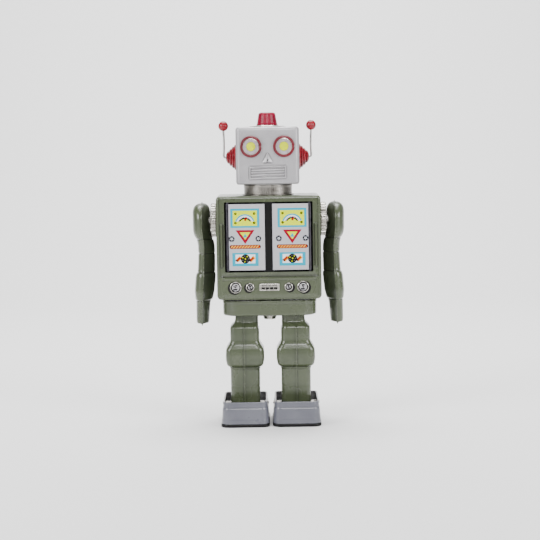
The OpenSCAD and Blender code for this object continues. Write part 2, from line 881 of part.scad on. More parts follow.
module lamp_cap() {
    z = head_top + 1.1;
    color("#c1283c") translate([0, 0, z]) difference() {
        cylinder(r1 = cap_r, r2 = cap_r - cap_taper, h = cap_h);
        translate([0, 0, -1]) cylinder(r1 = cap_r - 1, r2 = cap_r - 1 - cap_taper, h = cap_h);
    }
}

// Ribbed cones, solid, with a square-edged groove between ribs
module ear_cones() {
    ribs = 4;
    step = ear_l / ribs;
    function rib_r(i) = ear_r + (ear_tip_r - ear_r) * i / (ribs - 1);
    color("#b43943") both_sides() for (i = [0:ribs - 1]) {
        x = head_w / 2 + i * step;
        rod_x(rib_r(i), x, x + step * 0.6, 0, ear_z);
        rod_x(max(rib_r(i) - 1.6, ear_tip_r - 1), x + step * 0.6, x + step, 0, ear_z);
    }
}

// Bent wire from the middle of each ear up to its ball
module antenna_wires() {
    color("#3a3634") both_sides() difference() {
        union() {
            rod_x(wire_r, head_w / 2 + ear_l, wire_x, 0, ear_z);
            translate([wire_x, 0, ear_z]) sphere(wire_r);
            rod_z(wire_r, ear_z, ball_z, wire_x, 0);
        }
        translate([wire_x, 0, ball_z]) sphere(ball_r);
    }
}

module antenna_balls() {
    color("#cc434a") both_sides() translate([wire_x, 0, ball_z]) sphere(ball_r);
}

// ---- Arms: two pressed halves each, joined along the middle ----

// The arm's elbow band and wrist, as heights, and how far each is drawn in or stands out
band_top = shoulder_z - 0.185 * arm_len;
band_low = shoulder_z - 0.48 * arm_len;
wrist = shoulder_z - 0.76 * arm_len;
band_in = 1.6;
hand_in = 2.9;
elbow_out = 1.5;

// Side of the arm, as (y, z): round shoulder, elbow, hand
module arm_side(inset) {
    r = shoulder_r - inset;
    tip = shoulder_z - arm_len + flange + inset;
    lower = [[6 - inset, tip], [9 - inset, wrist], [10.4 - inset, wrist + 4],
        [10.2 - inset, band_low - 3], [9.4 - inset, band_low + 4]];
    polygon(concat(
        lower,
        [for (a = [-30:6:210]) [r * cos(a), shoulder_z + r * sin(a)]],
        [for (i = [len(lower) - 1:-1:0]) [-lower[i][0], lower[i][1]]]
    ));
}

// Front of the arm, as (x, z), with the elbow drawn in
module arm_front(inset) {
    top = shoulder_z + shoulder_r + 1;
    bottom = shoulder_z - arm_len;
    o = arm_out - inset;
    i = arm_in - inset;
    translate([arm_x, 0]) polygon([
        [o - 2.5, top], [o, top - 5], [o, band_top + 8], [o - band_in, band_top],
        [o - band_in, band_low], [o - 0.8, band_low - 3], [o - 0.8, wrist + 6], [o - hand_in, wrist],
        [o - hand_in - 1, bottom],
        [1 - i, bottom], [-i, wrist], [-i - elbow_out, wrist + 4], [-i - elbow_out, band_low - 2],
        [-i - 0.6, band_low + 2], [-i - 0.9, band_top], [-i, band_top + 3], [-i, top - 5], [2.5 - i, top]
    ]);
}

module arm_solid(inset) {
    intersection() {
        sideways(arm_x - 20, arm_x + 20) arm_side(inset);
        facing(-30, 30) arm_front(inset);
    }
}

module arm_half(outer) {
    difference() {
        union() {
            difference() {
                intersection() {
                    arm_solid(0);
                    beyond_x(arm_x, outer);
                }
                arm_solid(tin);
            }
            if (outer) sideways(arm_x, arm_x + tin) difference() {
                arm_side(-flange);
                arm_side(tin / 2);
            }
        }
        if (!outer) rod_x(stud_r + fit, 0, arm_x - 1, 0, shoulder_z);
    }
}

module left_arm_outer() { color("#6c7363") arm_half(true); }
module left_arm_inner() { color("#6c7363") arm_half(false); }
module right_arm_outer() { color("#6c7363") on_side(-1) arm_half(true); }
module right_arm_inner() { color("#6c7363") on_side(-1) arm_half(false); }

// ---- Every node, one line each ----

waist_pan();
waist_top();
hip_axle();
swivel_post();
pivot_cap();
left_leg_outer();
left_leg_inner();
left_hip_bracket();
right_leg_outer();
right_leg_inner();
right_hip_bracket();
left_foot_shell();
left_sole();
left_foot_pins();
left_front_roller();
left_rear_roller();
right_foot_shell();
right_sole();
right_foot_pins();
right_front_roller();
right_rear_roller();
torso_front();
torso_back();
torso_base();
chest_recess();
centre_post();
door_hinge_pins();
dash_dials();
meter_plate();
neck_collar();
shoulder_discs();
shoulder_studs();
front_motor_plate();
rear_motor_plate();
motor_pillars();
mainspring();
back_screws();
left_door();
right_door();
gun_carriage();
winding_key();
great_wheel();
second_arbor();
governor();
drive_shaft();
stop_lever();
head_shell();
head_base();
eye_rings();
eye_discs();
lamp_cap();
lamp_seat();
ear_cones();
antenna_wires();
antenna_balls();
left_arm_outer();
left_arm_inner();
right_arm_outer();
right_arm_inner();
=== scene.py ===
import bpy
import bmesh
from math import cos, pi, radians, sin, copysign
import numpy as np
from mathutils import Matrix, Vector


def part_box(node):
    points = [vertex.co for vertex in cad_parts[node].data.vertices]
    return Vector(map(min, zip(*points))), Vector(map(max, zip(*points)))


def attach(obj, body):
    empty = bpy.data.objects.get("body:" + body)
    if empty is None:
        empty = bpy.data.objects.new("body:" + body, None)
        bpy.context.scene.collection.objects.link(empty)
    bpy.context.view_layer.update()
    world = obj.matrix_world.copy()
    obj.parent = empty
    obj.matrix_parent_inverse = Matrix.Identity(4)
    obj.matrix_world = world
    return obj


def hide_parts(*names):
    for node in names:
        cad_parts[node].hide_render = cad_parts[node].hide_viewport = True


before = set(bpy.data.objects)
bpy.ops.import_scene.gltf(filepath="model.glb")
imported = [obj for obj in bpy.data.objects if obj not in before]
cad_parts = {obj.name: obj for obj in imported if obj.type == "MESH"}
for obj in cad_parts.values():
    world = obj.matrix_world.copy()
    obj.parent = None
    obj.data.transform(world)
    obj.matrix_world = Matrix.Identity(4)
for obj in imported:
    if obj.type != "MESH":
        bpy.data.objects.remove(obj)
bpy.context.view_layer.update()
mm = 0.001
sides = {"left": 1, "right": -1}     # the robot's own left is +X


def span(node):
    # lowest and highest corner of a CAD node, in mm
    low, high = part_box(node)
    return np.array(low) / mm, np.array(high) / mm


def middle(node):
    low, high = span(node)
    return (low + high) / 2


def size(node):
    low, high = span(node)
    return high - low


def gridFaces(rows, cols, joinCols=True, joinRows=False):
    # a quad between each point and its neighbours in the next row and column
    i, j = np.meshgrid(np.arange(rows if joinRows else rows - 1), np.arange(cols if joinCols else cols - 1),
                       indexing="ij")
    down, right = (i + 1) % rows, (j + 1) % cols
    return np.stack([i * cols + j, i * cols + right, down * cols + right, down * cols + j], -1).reshape(-1, 4)


def markBends(mesh):
    # how sharply the sheet bends at each point, in 1/mm: (change of normal . step) / step^2 over its edges
    count = len(mesh.vertices)
    place, normal = np.empty(count * 3), np.empty(count * 3)
    mesh.vertices.foreach_get("co", place)
    mesh.vertices.foreach_get("normal", normal)
    ends = np.empty(len(mesh.edges) * 2, dtype=np.int32)
    mesh.edges.foreach_get("vertices", ends)
    a, b = ends[::2], ends[1::2]
    place, normal = place.reshape(-1, 3) / mm, normal.reshape(-1, 3)
    step = place[b] - place[a]
    turn = np.sum((normal[b] - normal[a]) * step, axis=1) / np.maximum(np.sum(step * step, axis=1), 0.01)
    total = np.bincount(a, turn, count) + np.bincount(b, turn, count)
    number = np.maximum(np.bincount(a, minlength=count) + np.bincount(b, minlength=count), 1)
    layer = mesh.attributes.new("bend", "FLOAT", "POINT")
    layer.data.foreach_set("value", (2 * total / number).astype(np.float32))


def eachSide(*nodes):
    # side, sign, and the CAD nodes that its piece stands in for: a node that holds both sides goes with the left
    return [("left", 1, nodes), ("right", -1, ())]


def cutAway(piece, boxes):
    # takes boxes, each (lowest corner, highest corner) in mm, out of a closed piece
    for low, high in boxes:
        low, high = np.array(low, float), np.array(high, float)
        points = np.array([[x, y, z] for x in (0, 1) for y in (0, 1) for z in (0, 1)]) * (high - low) + low
        mesh = bpy.data.meshes.new("cutter")
        mesh.from_pydata((points * mm).tolist(), [], [(0, 1, 3, 2), (4, 6, 7, 5), (0, 4, 5, 1), (2, 3, 7, 6),
                                                      (0, 2, 6, 4), (1, 5, 7, 3)])
        cutter = bpy.data.objects.new("cutter", mesh)
        bpy.context.scene.collection.objects.link(cutter)
        cut = piece.modifiers.new("cut", "BOOLEAN")
        cut.operation, cut.object = "DIFFERENCE", cutter
        bpy.context.view_layer.update()
        shape = bpy.data.meshes.new_from_object(piece.evaluated_get(bpy.context.evaluated_depsgraph_get()))
        piece.modifiers.remove(cut)
        piece.data = shape
        bpy.data.objects.remove(cutter)


def makePiece(name, points, faces, body, material, stands=(), core=None, wall=0.0, sharp=40, uv=None):
    # points are in mm; core is a point inside an open sheet, which its faces turn away from
    mesh = bpy.data.meshes.new(name)
    mesh.from_pydata((points * mm).tolist(), [], [tuple(f) for f in faces])
    if uv is not None:
        layer = mesh.uv_layers.new(name="flat")
        corner = np.empty(len(mesh.loops), dtype=np.int32)
        mesh.loops.foreach_get("vertex_index", corner)
        layer.data.foreach_set("uv", uv[corner].astype(np.float32).ravel())
    tidy = bmesh.new()
    tidy.from_mesh(mesh)
    bmesh.ops.remove_doubles(tidy, verts=tidy.verts, dist=0.002 * mm)
    bmesh.ops.dissolve_degenerate(tidy, edges=tidy.edges, dist=0.001 * mm)
    if core is None:
        bmesh.ops.recalc_face_normals(tidy, faces=tidy.faces)
    else:
        heart = Vector(core) * mm
        if sum(f.normal.dot(f.calc_center_median() - heart) * f.calc_area() for f in tidy.faces) < 0:
            bmesh.ops.reverse_faces(tidy, faces=tidy.faces)
    tidy.to_mesh(mesh)
    tidy.free()
    markBends(mesh)
    mesh.shade_smooth()
    mesh.set_sharp_from_angle(angle=radians(sharp))
    piece = bpy.data.objects.new(name, mesh)
    bpy.context.scene.collection.objects.link(piece)
    if wall:
        thick = piece.modifiers.new("wall", "SOLIDIFY")
        thick.thickness = wall * mm
        thick.offset = -1
    mesh.materials.append(material)
    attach(piece, body)
    if stands:
        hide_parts(*stands)
    return piece


def capped(rings, firstCap=True, lastCap=True):
    # quads between the rings, and one flat face over each end that is asked for
    rows, cols = rings.shape[:2]
    faces = gridFaces(rows, cols).tolist()
    if firstCap:
        faces.append(list(range(cols)))
    if lastCap:
        faces.append([(rows - 1) * cols + k for k in range(cols)])
    return rings.reshape(-1, 3), faces


def looped(rings):
    # rings closed on themselves both ways, like a tube bent round to its own start
    return rings.reshape(-1, 3), gridFaces(len(rings), rings.shape[1], joinRows=True)


def facing(mesh):
    # each face's normal, and its centre in mm
    normal, place = np.empty(len(mesh.polygons) * 3), np.empty(len(mesh.polygons) * 3)
    mesh.polygons.foreach_get("normal", normal)
    mesh.polygons.foreach_get("center", place)
    return normal.reshape(-1, 3), place.reshape(-1, 3) / mm


def finishFaces(piece, which, *materials):
    # gives each face the finish that its number in which stands for; 0 is the one it has
    for material in materials:
        piece.data.materials.append(material)
    piece.data.polygons.foreach_set("material_index", which.astype(np.int32))


def roundRect(w, d, r, sideX=12, sideY=12, corner=8):
    # four quarter circles joined by straight sides, in order round the outline
    r = min(max(r, 0.02), w / 2 - 0.01, d / 2 - 0.01)
    turn = np.linspace(0, np.pi / 2, corner + 1)
    arcs = []
    for k, (sx, sy) in enumerate([(1, 1), (-1, 1), (-1, -1), (1, -1)]):
        a = turn + k * np.pi / 2
        arcs.append(np.array([sx * (w / 2 - r), sy * (d / 2 - r)]) + r * np.stack([np.cos(a), np.sin(a)], -1))
    out = []
    for k in range(4):
        a, b = arcs[k][-1], arcs[(k + 1) % 4][0]
        steps = np.linspace(0, 1, (sideX if k % 2 == 0 else sideY) + 2)[1:-1, None]
        out += [arcs[k], a + (b - a) * steps]
    return np.concatenate(out)


def wrap(profile, w, d, r, x=0.0, y=0.0, **counts):
    # a rounded rectangle drawn in by the profile's inset at each of its heights
    rings = []
    for inset, z in profile:
        flat = roundRect(w - 2 * inset, d - 2 * inset, r - inset, **counts)
        rings.append(np.column_stack([flat[:, 0] + x, flat[:, 1] + y, np.full(len(flat), z)]))
    return np.array(rings)


def wrapOutline(outline, profile):
    # an outline (u, v) moved along its own normals by the profile's outset, at the profile's depth
    ahead, behind = np.roll(outline, -1, 0), np.roll(outline, 1, 0)
    along = ahead - behind
    along /= np.linalg.norm(along, axis=1)[:, None]
    out = np.stack([along[:, 1], -along[:, 0]], -1)
    area = np.sum(outline[:, 0] * ahead[:, 1] - ahead[:, 0] * outline[:, 1])
    out *= np.sign(area)
    return np.array([np.column_stack([outline + out * o, np.full(len(outline), h)]) for o, h in profile])


def upright(rings, x, y, z):
    # an outline and its depth, set on the front: (u, v, depth) to (x + u, y - depth, z + v)
    return np.stack([x + rings[..., 0], y - rings[..., 2], z + rings[..., 1]], -1)


def mark(x, y, z, wide, tall, corner, profile):
    # a small flat shape that stands on the front
    return capped(upright(wrapOutline(roundRect(wide, tall, corner, 2, 2, 4), profile), x, y, z))


def arc(cx, cy, r, start, end, steps=6):
    # points on a circle between two angles in degrees
    a = np.radians(np.linspace(start, end, steps + 1))
    return [(cx + r * cos(t), cy + r * sin(t)) for t in a]


def lathe(profile, axis, centre, count=72, ripple=None):
    # (radius, height) turned round the axis through centre; ripple(angle, radius) adds to the radius
    turn = np.linspace(0, 2 * np.pi, count, endpoint=False)
    radius = np.array([p[0] for p in profile])[:, None]
    height = np.array([p[1] for p in profile])[:, None] + 0 * turn
    r = np.maximum(radius + (ripple(turn[None, :], radius) if ripple else 0 * turn), 0)
    c, s = r * np.cos(turn), r * np.sin(turn)
    order = {"z": [c, s, height], "y": [c, height, s], "x": [height, c, s]}[axis]
    return np.stack(order, -1) + np.array(centre)


def together(shapes):
    # several (points, faces) as one
    points, faces, start = [], [], 0
    for some, corners in shapes:
        points.append(some)
        faces += [[start + k for k in face] for face in corners]
        start += len(some)
    return np.concatenate(points), faces


def turned(profile, axis, centre, count=72, ripple=None, closed=False):
    # a lathe shape, open at both ends of its profile (which lie on the axis) or closed on itself
    rings = lathe(profile, axis, centre, count, ripple)
    return rings.reshape(-1, 3), gridFaces(len(rings), count, joinRows=closed).tolist()


def tube(path, r, count=16):
    # circles of radius r square to the path at each of its points
    path = np.array(path, float)
    along = np.gradient(path, axis=0)
    along /= np.linalg.norm(along, axis=1)[:, None]
    across = np.cross(along, [0, 1, 0.001])
    across /= np.linalg.norm(across, axis=1)[:, None]
    up = np.cross(along, across)
    a = np.linspace(0, 2 * np.pi, count, endpoint=False)
    ring = np.cos(a)[None, :, None] * across[:, None, :] + np.sin(a)[None, :, None] * up[:, None, :]
    return path[:, None, :] + ring * np.reshape(r, (-1, 1, 1))


def ramp(x, low, high):
    # smooth step from 0 at low to 1 at high
    t = np.clip((x - low) / (high - low), 0, 1)
    return t * t * (3 - 2 * t)


def bump(distance, soft):
    # 1 inside an outline, falling smoothly to 0 at soft beyond it
    return 1 - ramp(distance, 0, soft)


def barDistance(x, z, halfX, halfZ):
    return np.maximum(np.abs(x) - halfX, np.abs(z) - halfZ)


def blurred(z, heights, values, soft):
    # straight lines through the values, rounded over a length of soft
    offsets = np.linspace(-soft / 2, soft / 2, 9)
    return np.mean([np.interp(z + o, heights, values) for o in offsets], axis=0)


def linear(hexColour):
    # sRGB hex to linear red, green, blue, alpha
    parts = [int(hexColour[i:i + 2], 16) / 255 for i in (1, 3, 5)]
    return tuple(c / 12.92 if c <= 0.04045 else ((c + 0.055) / 1.055) ** 2.4 for c in parts) + (1.0,)


def addNode(kind, inputs=(), **settings):
    # one node in the material begun last, with a value or another node's socket on each input
    node = tree.nodes.new("ShaderNode" + kind)
    for key, value in settings.items():
        setattr(node, key, value)
    for key, value in (inputs.items() if isinstance(inputs, dict) else enumerate(inputs)):
        if isinstance(value, bpy.types.Node):
            value = value.outputs[0]
        if isinstance(value, bpy.types.NodeSocket):
            tree.links.new(value, node.inputs[key])
        elif value is not None:
            node.inputs[key].default_value = value
    return node


def newMaterial(name):
    global tree
    material = bpy.data.materials.new(name)
    material.use_nodes = True
    tree = material.node_tree
    tree.nodes.clear()
    return material


def principled(**inputs):
    # the shader and the output; an underscore in a name stands for a space
    shader = addNode("BsdfPrincipled", {key.replace("_", " "): value for key, value in inputs.items()})
    addNode("OutputMaterial", {"Surface": shader})


def calc(how, *values):
    return addNode("Math", values, operation=how)


def spread(value, *ends):
    # from one range, low and high, to another
    return addNode("MapRange", [value, *ends])


def blend(amount, first, second):
    colours = [linear(c) if isinstance(c, str) else c for c in (first, second)]
    return addNode("Mix", {0: amount, 6: colours[0], 7: colours[1]}, data_type="RGBA").outputs[2]


def noise(place, scale, detail, **more):
    return addNode("TexNoise", {"Vector": place, "Scale": scale, "Detail": detail, **more})


def objectPlace():
    return addNode("TexCoord").outputs["Object"]


def relief(height, strength, depth):
    return addNode("Bump", {"Strength": strength, "Distance": depth * mm, "Height": height})


def perMm(distance):
    # noise scale that makes one wave about that many mm long
    return 1 / (distance * mm)


# Stoved enamel on tin plate: thick gloss paint with a faint orange peel, thin on pressed edges,
# where handling has worn it to primer and bright tin, and darkened in the hollows by dust and painted shade.
enamels = {
    "greenEnamel": {"paint": "#434a35", "deep": "#373e2b", "tin": "#8d8f82", "rough": 0.26, "worn": 0.5},
    # painted shade: a darker copy of the green for the arms' inner halves, which face the torso and lie in its shade
    "paintedShadeEnamel": {"paint": "#363c2c", "deep": "#2c3224", "tin": "#7c7e72", "rough": 0.3, "worn": 0.5},
    "greyEnamel": {"paint": "#5f6069", "deep": "#50515a", "tin": "#a5a49f", "rough": 0.3, "worn": 0.5},
    "silverEnamel": {"paint": "#a19fa2", "deep": "#8b898c", "tin": "#d6d4d0", "rough": 0.4, "worn": 0.3,
                     "metallic": 0.35, "flake": 0.16},
    "blackEnamel": {"paint": "#060507", "deep": "#030303", "tin": "#3a383d", "rough": 0.36, "worn": 0.45,
                    "coat": 0.03, "shine": 0.2},
    "redEnamel": {"paint": "#640318", "deep": "#42020e", "tin": "#a8605f", "rough": 0.28, "worn": 0.3},
}


def enamel(name):
    look = enamels[name]
    material = newMaterial(name)
    place = objectPlace()
    cloud = noise(place, perMm(22), 4.0)
    scuff = noise(place, perMm(1.6), 6.0, Roughness=0.7)
    # orange peel is about 1 mm across on real enamel, drawn 1.5 mm so that it shows
    peel = noise(place, perMm(1.5), 2.0)
    flakes = addNode("TexVoronoi", {"Vector": place, "Scale": perMm(0.5)})
    bend = addNode("Attribute", attribute_name="bend").outputs["Fac"]
    body = blend(spread(cloud, 0.35, 0.7, 0.0, 1.0), look["paint"], look["deep"])
    body = blend(spread(flakes.outputs["Distance"], 0.0, 0.6, look.get("flake", 0.0), 0.0), body, look["tin"])
    # dust and painted shade: darker in the hollows, where the sheet bends inwards
    body = blend(spread(bend, -0.05, -0.6, 0.0, 0.55), body, "#161512")
    # worn where the sheet bends outwards and the scuff noise is high
    worn = calc("MULTIPLY", spread(bend, 0.35, 1.6, 0.0, 1.0), spread(scuff, 0.53, 0.66, 0.0, look["worn"]))
    height = calc("ADD", peel, calc("MULTIPLY", worn, -1.5))
    principled(Base_Color=blend(worn, body, look["tin"]),
               Roughness=spread(cloud, 0.3, 0.75, look["rough"] - 0.05, look["rough"] + 0.12),
               Metallic=spread(worn, 0.0, 1.0, look.get("metallic", 0.0), 1.0), IOR=1.5,
               Specular_IOR_Level=look.get("shine", 0.5), Coat_Weight=look.get("coat", 0.25), Coat_Roughness=0.12,
               Normal=relief(height, 0.16, 0.1))
    return material


# Metals keep the default IOR. Streaks are the rolling or brushing marks of the sheet, in mm.
metals = {
    # bright electro-plate on pressed tin, drawn marks upright, hazed by age
    "platedTin": {"bright": "#b9b6af", "dull": "#85817b", "rough": 0.24, "streak": (0.35, 0.35, 9.0)},
    # the same plate drawn darker on the neck, as painted shade where it sits under the head
    "neckShadePlate": {"bright": "#8d8983", "dull": "#57534d", "rough": 0.3, "streak": (0.3, 0.3, 12.0)},
    # plain rolled steel sheet and wire
    "steelSheet": {"bright": "#b0aeab", "dull": "#7b7874", "rough": 0.34, "streak": (7.0, 0.5, 0.5)},
    # pressed clock brass, lightly tarnished
    "clockBrass": {"bright": "#c9a85c", "dull": "#8d6f38", "rough": 0.3, "streak": (0.6, 4.0, 0.6)},
    # dark blued wire of the hinges
    "bluedWire": {"bright": "#4b494f", "dull": "#27252b", "rough": 0.3, "streak": (0.5, 0.5, 5.0)},
    # hot-rolled spring strip, blued by tempering
    "springSteel": {"bright": "#5d6472", "dull": "#34363d", "rough": 0.28, "streak": (0.5, 6.0, 0.5)},
}


def metal(name):
    look = metals[name]
    material = newMaterial(name)
    place = objectPlace()
    stretch = addNode("Mapping", {"Vector": place, "Scale": tuple(perMm(s) for s in look["streak"])})
    streaks = noise(stretch, 1.0, 3.0)
    haze = spread(noise(place, perMm(7), 5.0, Roughness=0.65), 0.48, 0.72, 0.0, 0.8)
    principled(Base_Color=blend(haze, look["bright"], look["dull"]), Metallic=1.0,
               Roughness=spread(streaks, 0.3, 0.7, look["rough"] - 0.07, look["rough"] + 0.12),
               Normal=relief(streaks, 0.12, 0.05))
    return material


# Moulded plastics and rubber: the skin of the mould, with fine flow marks and handling scratches.
plastics = {
    # red polystyrene of the cap
    "redStyrene": {"tint": "#86002a", "shade": "#64001c", "rough": 0.3, "ior": 1.59, "shine": 0.2},
    # solid red of the ear cones and the balls
    "redPlastic": {"tint": "#85061a", "shade": "#5c0310", "rough": 0.24, "ior": 1.53, "shine": 0.4},
    # smoky lens in each eye
    "greyLens": {"tint": "#a49ba3", "shade": "#8e858c", "rough": 0.24, "ior": 1.53, "shine": 0.5},
    # yellow centre of each eye
    "yellowPlastic": {"tint": "#c3cc00", "shade": "#b0b800", "rough": 0.5, "ior": 1.53, "shine": 0.1},
    # hard black rubber of the walking rollers, and the dials' black marks; it also paints the shade in the dial
    # grooves, the dials' shadows and the nose hole
    "blackRubber": {"tint": "#0e0d0e", "shade": "#080708", "rough": 0.62, "ior": 1.52, "shine": 0.2},
}


def plastic(name):
    look = plastics[name]
    material = newMaterial(name)
    place = objectPlace()
    flow = spread(noise(place, perMm(5), 3.0, Distortion=0.6), 0.35, 0.7, 0.0, 1.0)
    scratch = noise(place, perMm(0.7), 5.0)
    principled(Base_Color=blend(flow, look["tint"], look["shade"]), IOR=look["ior"],
               Roughness=spread(scratch, 0.4, 0.75, look["rough"] - 0.05, look["rough"] + 0.14),
               Specular_IOR_Level=look["shine"], Normal=relief(scratch, 0.08, 0.05))
    return material


printInks = {"ground": "#a3a2a7", "shaded": "#928f96", "cyan": "#0c8ea6", "yellow": "#c6d200", "crimson": "#840022",
             "white": "#d2d6dc", "black": "#060508", "red": "#8f0c04", "cream": "#d8b04a", "grey": "#55565e",
             "orange": "#cf8a08"}
printScale = 60.0     # mm of door for one unit of its flat map


def printedTin():
    # Offset lithography on white-coated tin: flat inks with crisp edges. All places are in mm on the door.
    material = newMaterial("printedTin")

    def shift(how, *values, out=0, **more):
        return addNode("VectorMath", values, operation=how, **more).outputs[out]

    flat = addNode("UVMap", uv_map="flat")
    place = shift("MULTIPLY", shift("SUBTRACT", flat, (0.5, 0.5, 0)), (printScale, printScale, 0))
    across, up = addNode("SeparateXYZ", [place]).outputs[:2]
    tooth = noise(place, 0.9, 4.0)
    colour = blend(spread(tooth, 0.4, 0.7, 0.0, 0.35), printInks["ground"], printInks["shaded"])

    def inside(place, kind, x, z, half, tall=0):
        # 1 where place lies inside a box, a disc, or a triangle that points down
        away = shift("SUBTRACT", place, (x, z, 0))
        if kind == "disc":
            return calc("LESS_THAN", shift("LENGTH", away, out="Value"), half)
        if kind == "triangle":
            x, z = addNode("SeparateXYZ", [away]).outputs[:2]
            limit = calc("MULTIPLY", calc("ADD", z, tall), half / (2 * tall))
            return calc("MULTIPLY", calc("LESS_THAN", calc("ABSOLUTE", x), limit), calc("LESS_THAN", z, tall))
        over = shift("SUBTRACT", shift("ABSOLUTE", away), (half, tall, 1))
        return calc("LESS_THAN", calc("MAXIMUM", *addNode("SeparateXYZ", [over]).outputs[:2]), 0.0)

    def ink(mask, name):
        nonlocal colour
        colour = blend(mask, colour, printInks[name])

    def draw(name, *shape):
        ink(inside(place, *shape), name)

    def both(a, b):
        return calc("MULTIPLY", a, b)

    def turnedPlace(x, z, angle):
        return addNode("VectorRotate", {"Vector": place, "Center": (x, z, 0), "Angle": angle}, rotation_type="Z_AXIS")

    def wave(value, count, level):
        # stripes: 1 where the sine is over the level
        return calc("GREATER_THAN", calc("SINE", both(value, count)), level)

    # meter window: cyan frame, yellow face, four corner screws
    draw("cyan", "box", 0, 14.1, 10.6, 7.0)
    draw("yellow", "box", 0, 14.0, 8.9, 5.6)
    for x, z in [(-6.9, 17.4), (6.9, 17.4), (-6.9, 10.6), (6.9, 10.6)]:
        draw("black", "disc", x, z, 0.95)
        draw("yellow", "disc", x + 0.2, z, 0.25)
    # its dial is the upper part of a ring round a point low in the window
    hub = 9.6
    upper = calc("GREATER_THAN", up, 11.7)
    for radius, name in [(7.4, "cyan"), (6.4, "white")]:
        ink(both(inside(place, "disc", 0, hub, radius), upper), name)
    angle = calc("ARCTAN2", calc("ADD", up, -hub), across)
    outer = calc("MULTIPLY_ADD", calc("SINE", both(angle, 26.0)), 0.4, 5.2)
    reach = shift("DISTANCE", place, (0, hub, 0), out="Value")
    ink(both(calc("LESS_THAN", reach, outer), upper), "black")
    ink(both(inside(place, "disc", 0, hub, 3.9), upper), "yellow")
    # its needle leans to the right
    ink(inside(turnedPlace(0.3, 12.6, 0.5), "box", 0.3, 13.6, 0.4, 1.6), "red")
    draw("red", "disc", 0.3, 12.9, 0.85)

    # three triangles, one in another; the last points up
    draw("crimson", "triangle", 0, 0.2, 7.0, 5.1)
    draw("yellow", "triangle", 0, 1.0, 3.9, 2.75)
    slope = calc("LESS_THAN", both(calc("ABSOLUTE", across), 1.9), calc("MULTIPLY_ADD", up, -1.0, 2.9))
    ink(both(inside(place, "box", 0, 1.4, 1.3, 1.5), slope), "cyan")

    # spoked valve wheels at each side
    for x in (-9.9, 9.7):
        draw("grey", "disc", x, -1.1, 2.2)
        turn = calc("ARCTAN2", calc("ADD", up, 1.1), calc("ADD", across, -x))
        ink(both(wave(turn, 5.0, 0.1), inside(place, "disc", x, -1.1, 2.2)), "black")
        draw("white", "disc", x, -1.1, 0.8)
        draw("black", "disc", x, -1.1, 0.4)

    # barber-striped pipe with round ends
    pipe = inside(place, "box", 0, -7.0, 10.0, 1.45)
    for x in (-10.0, 10.0):
        pipe = calc("MAXIMUM", pipe, inside(place, "disc", x, -7.0, 1.45))
    ink(pipe, "black")
    draw("red", "box", 0, -7.0, 10.7, 1.15)
    stripe = wave(calc("MULTIPLY_ADD", up, -0.9, across), 2 * pi / 2.1, 0.4)
    ink(both(stripe, inside(place, "box", 0, -7.0, 10.4, 1.0)), "cream")

    # lower window: cyan frame, white face, perforated wheel, two slanted flashes
    draw("cyan", "box", 0, -16.3, 9.6, 4.9)
    draw("white", "box", 0, -15.9, 7.3, 3.3)
    for x in (-5.2, 4.6):
        tilt = turnedPlace(x, -16.4, -0.75)
        ink(inside(tilt, "box", x + 0.6, -16.4, 2.1, 1.25), "orange")
        ink(inside(tilt, "box", x, -16.2, 2.0, 0.7), "red")
        ink(inside(tilt, "box", x - 1.5, -16.2, 0.5, 0.9), "black")
    draw("black", "disc", 0, -15.9, 3.4)
    for k in range(7):
        a = 2 * pi * k / 7
        draw("yellow" if k % 2 else "grey", "disc", 2.15 * cos(a), -15.9 + 2.15 * sin(a), 0.4)
    draw("yellow", "disc", 0, -15.9, 0.5)

    scuff = noise(place, 1.4, 5.0)
    principled(Base_Color=colour, Roughness=spread(scuff, 0.4, 0.75, 0.22, 0.4), IOR=1.5, Specular_IOR_Level=0.18,
               Normal=relief(scuff, 0.06, 0.05))
    return material


green, shade, grey, silver, black, red = [enamel(name) for name in enamels]
plated, neckShade, steel, brass, blued, springy = [metal(name) for name in metals]
redClear, redSolid, lensGrey, eyeYellow, rubber = [plastic(name) for name in plastics]
printed = printedTin()
print("finishes made")


headLook = {"corner": 3.5, "topEdge": 2.4, "lowEdge": 2.0, "wall": 0.7, "noseTop": 19.8, "noseFoot": 26.1, "noseHalf": 3.0,
            "mouthMiddle": 33.4, "mouthHalf": (13.5, 4.5), "barPitch": 1.75, "mouthTilt": 0.02}


def faceRelief(x, z, top):
    # a nose in two legs that widens downwards, and a mouth frame with fine bars and one strong bar across it
    look = headLook
    down = top - z
    along = (down - look["noseTop"]) / (look["noseFoot"] - look["noseTop"])
    half = 0.5 + (look["noseHalf"] - 0.5) * np.clip(along, 0, 1)
    nose = 1.4 * np.clip(1.35 - np.abs(x) / half, 0, 1) * ramp(along, -0.12, 0.1) * (1 - ramp(along, 0.95, 1.05))
    split = bump(np.abs(x) - 0.3 - 0.5 * np.clip(along - 0.55, 0, 1), 0.4) * ramp(along, 0.5, 0.7)
    mouthX, mouthZ = look["mouthHalf"]
    drop = down - look["mouthMiddle"] + look["mouthTilt"] * x
    reach = barDistance(x, drop, mouthX, mouthZ)
    frameLine = bump(np.abs(reach + 0.45) - 0.25, 0.45)
    pitch = look["barPitch"]
    bars = bump(np.abs((drop + pitch / 2) % pitch - pitch / 2) - 0.2, 0.4) * (1 - ramp(reach, -1.5, -1.1))
    strong = bump(np.abs(drop) - 0.3, 0.4) * (1 - ramp(reach, -1.5, -1.1))
    pan = 0.3 * bump(reach + 0.9, 0.4)
    return nose - 0.7 * split * (along < 1) + 0.55 * frameLine + 0.35 * bars + 0.4 * strong - pan


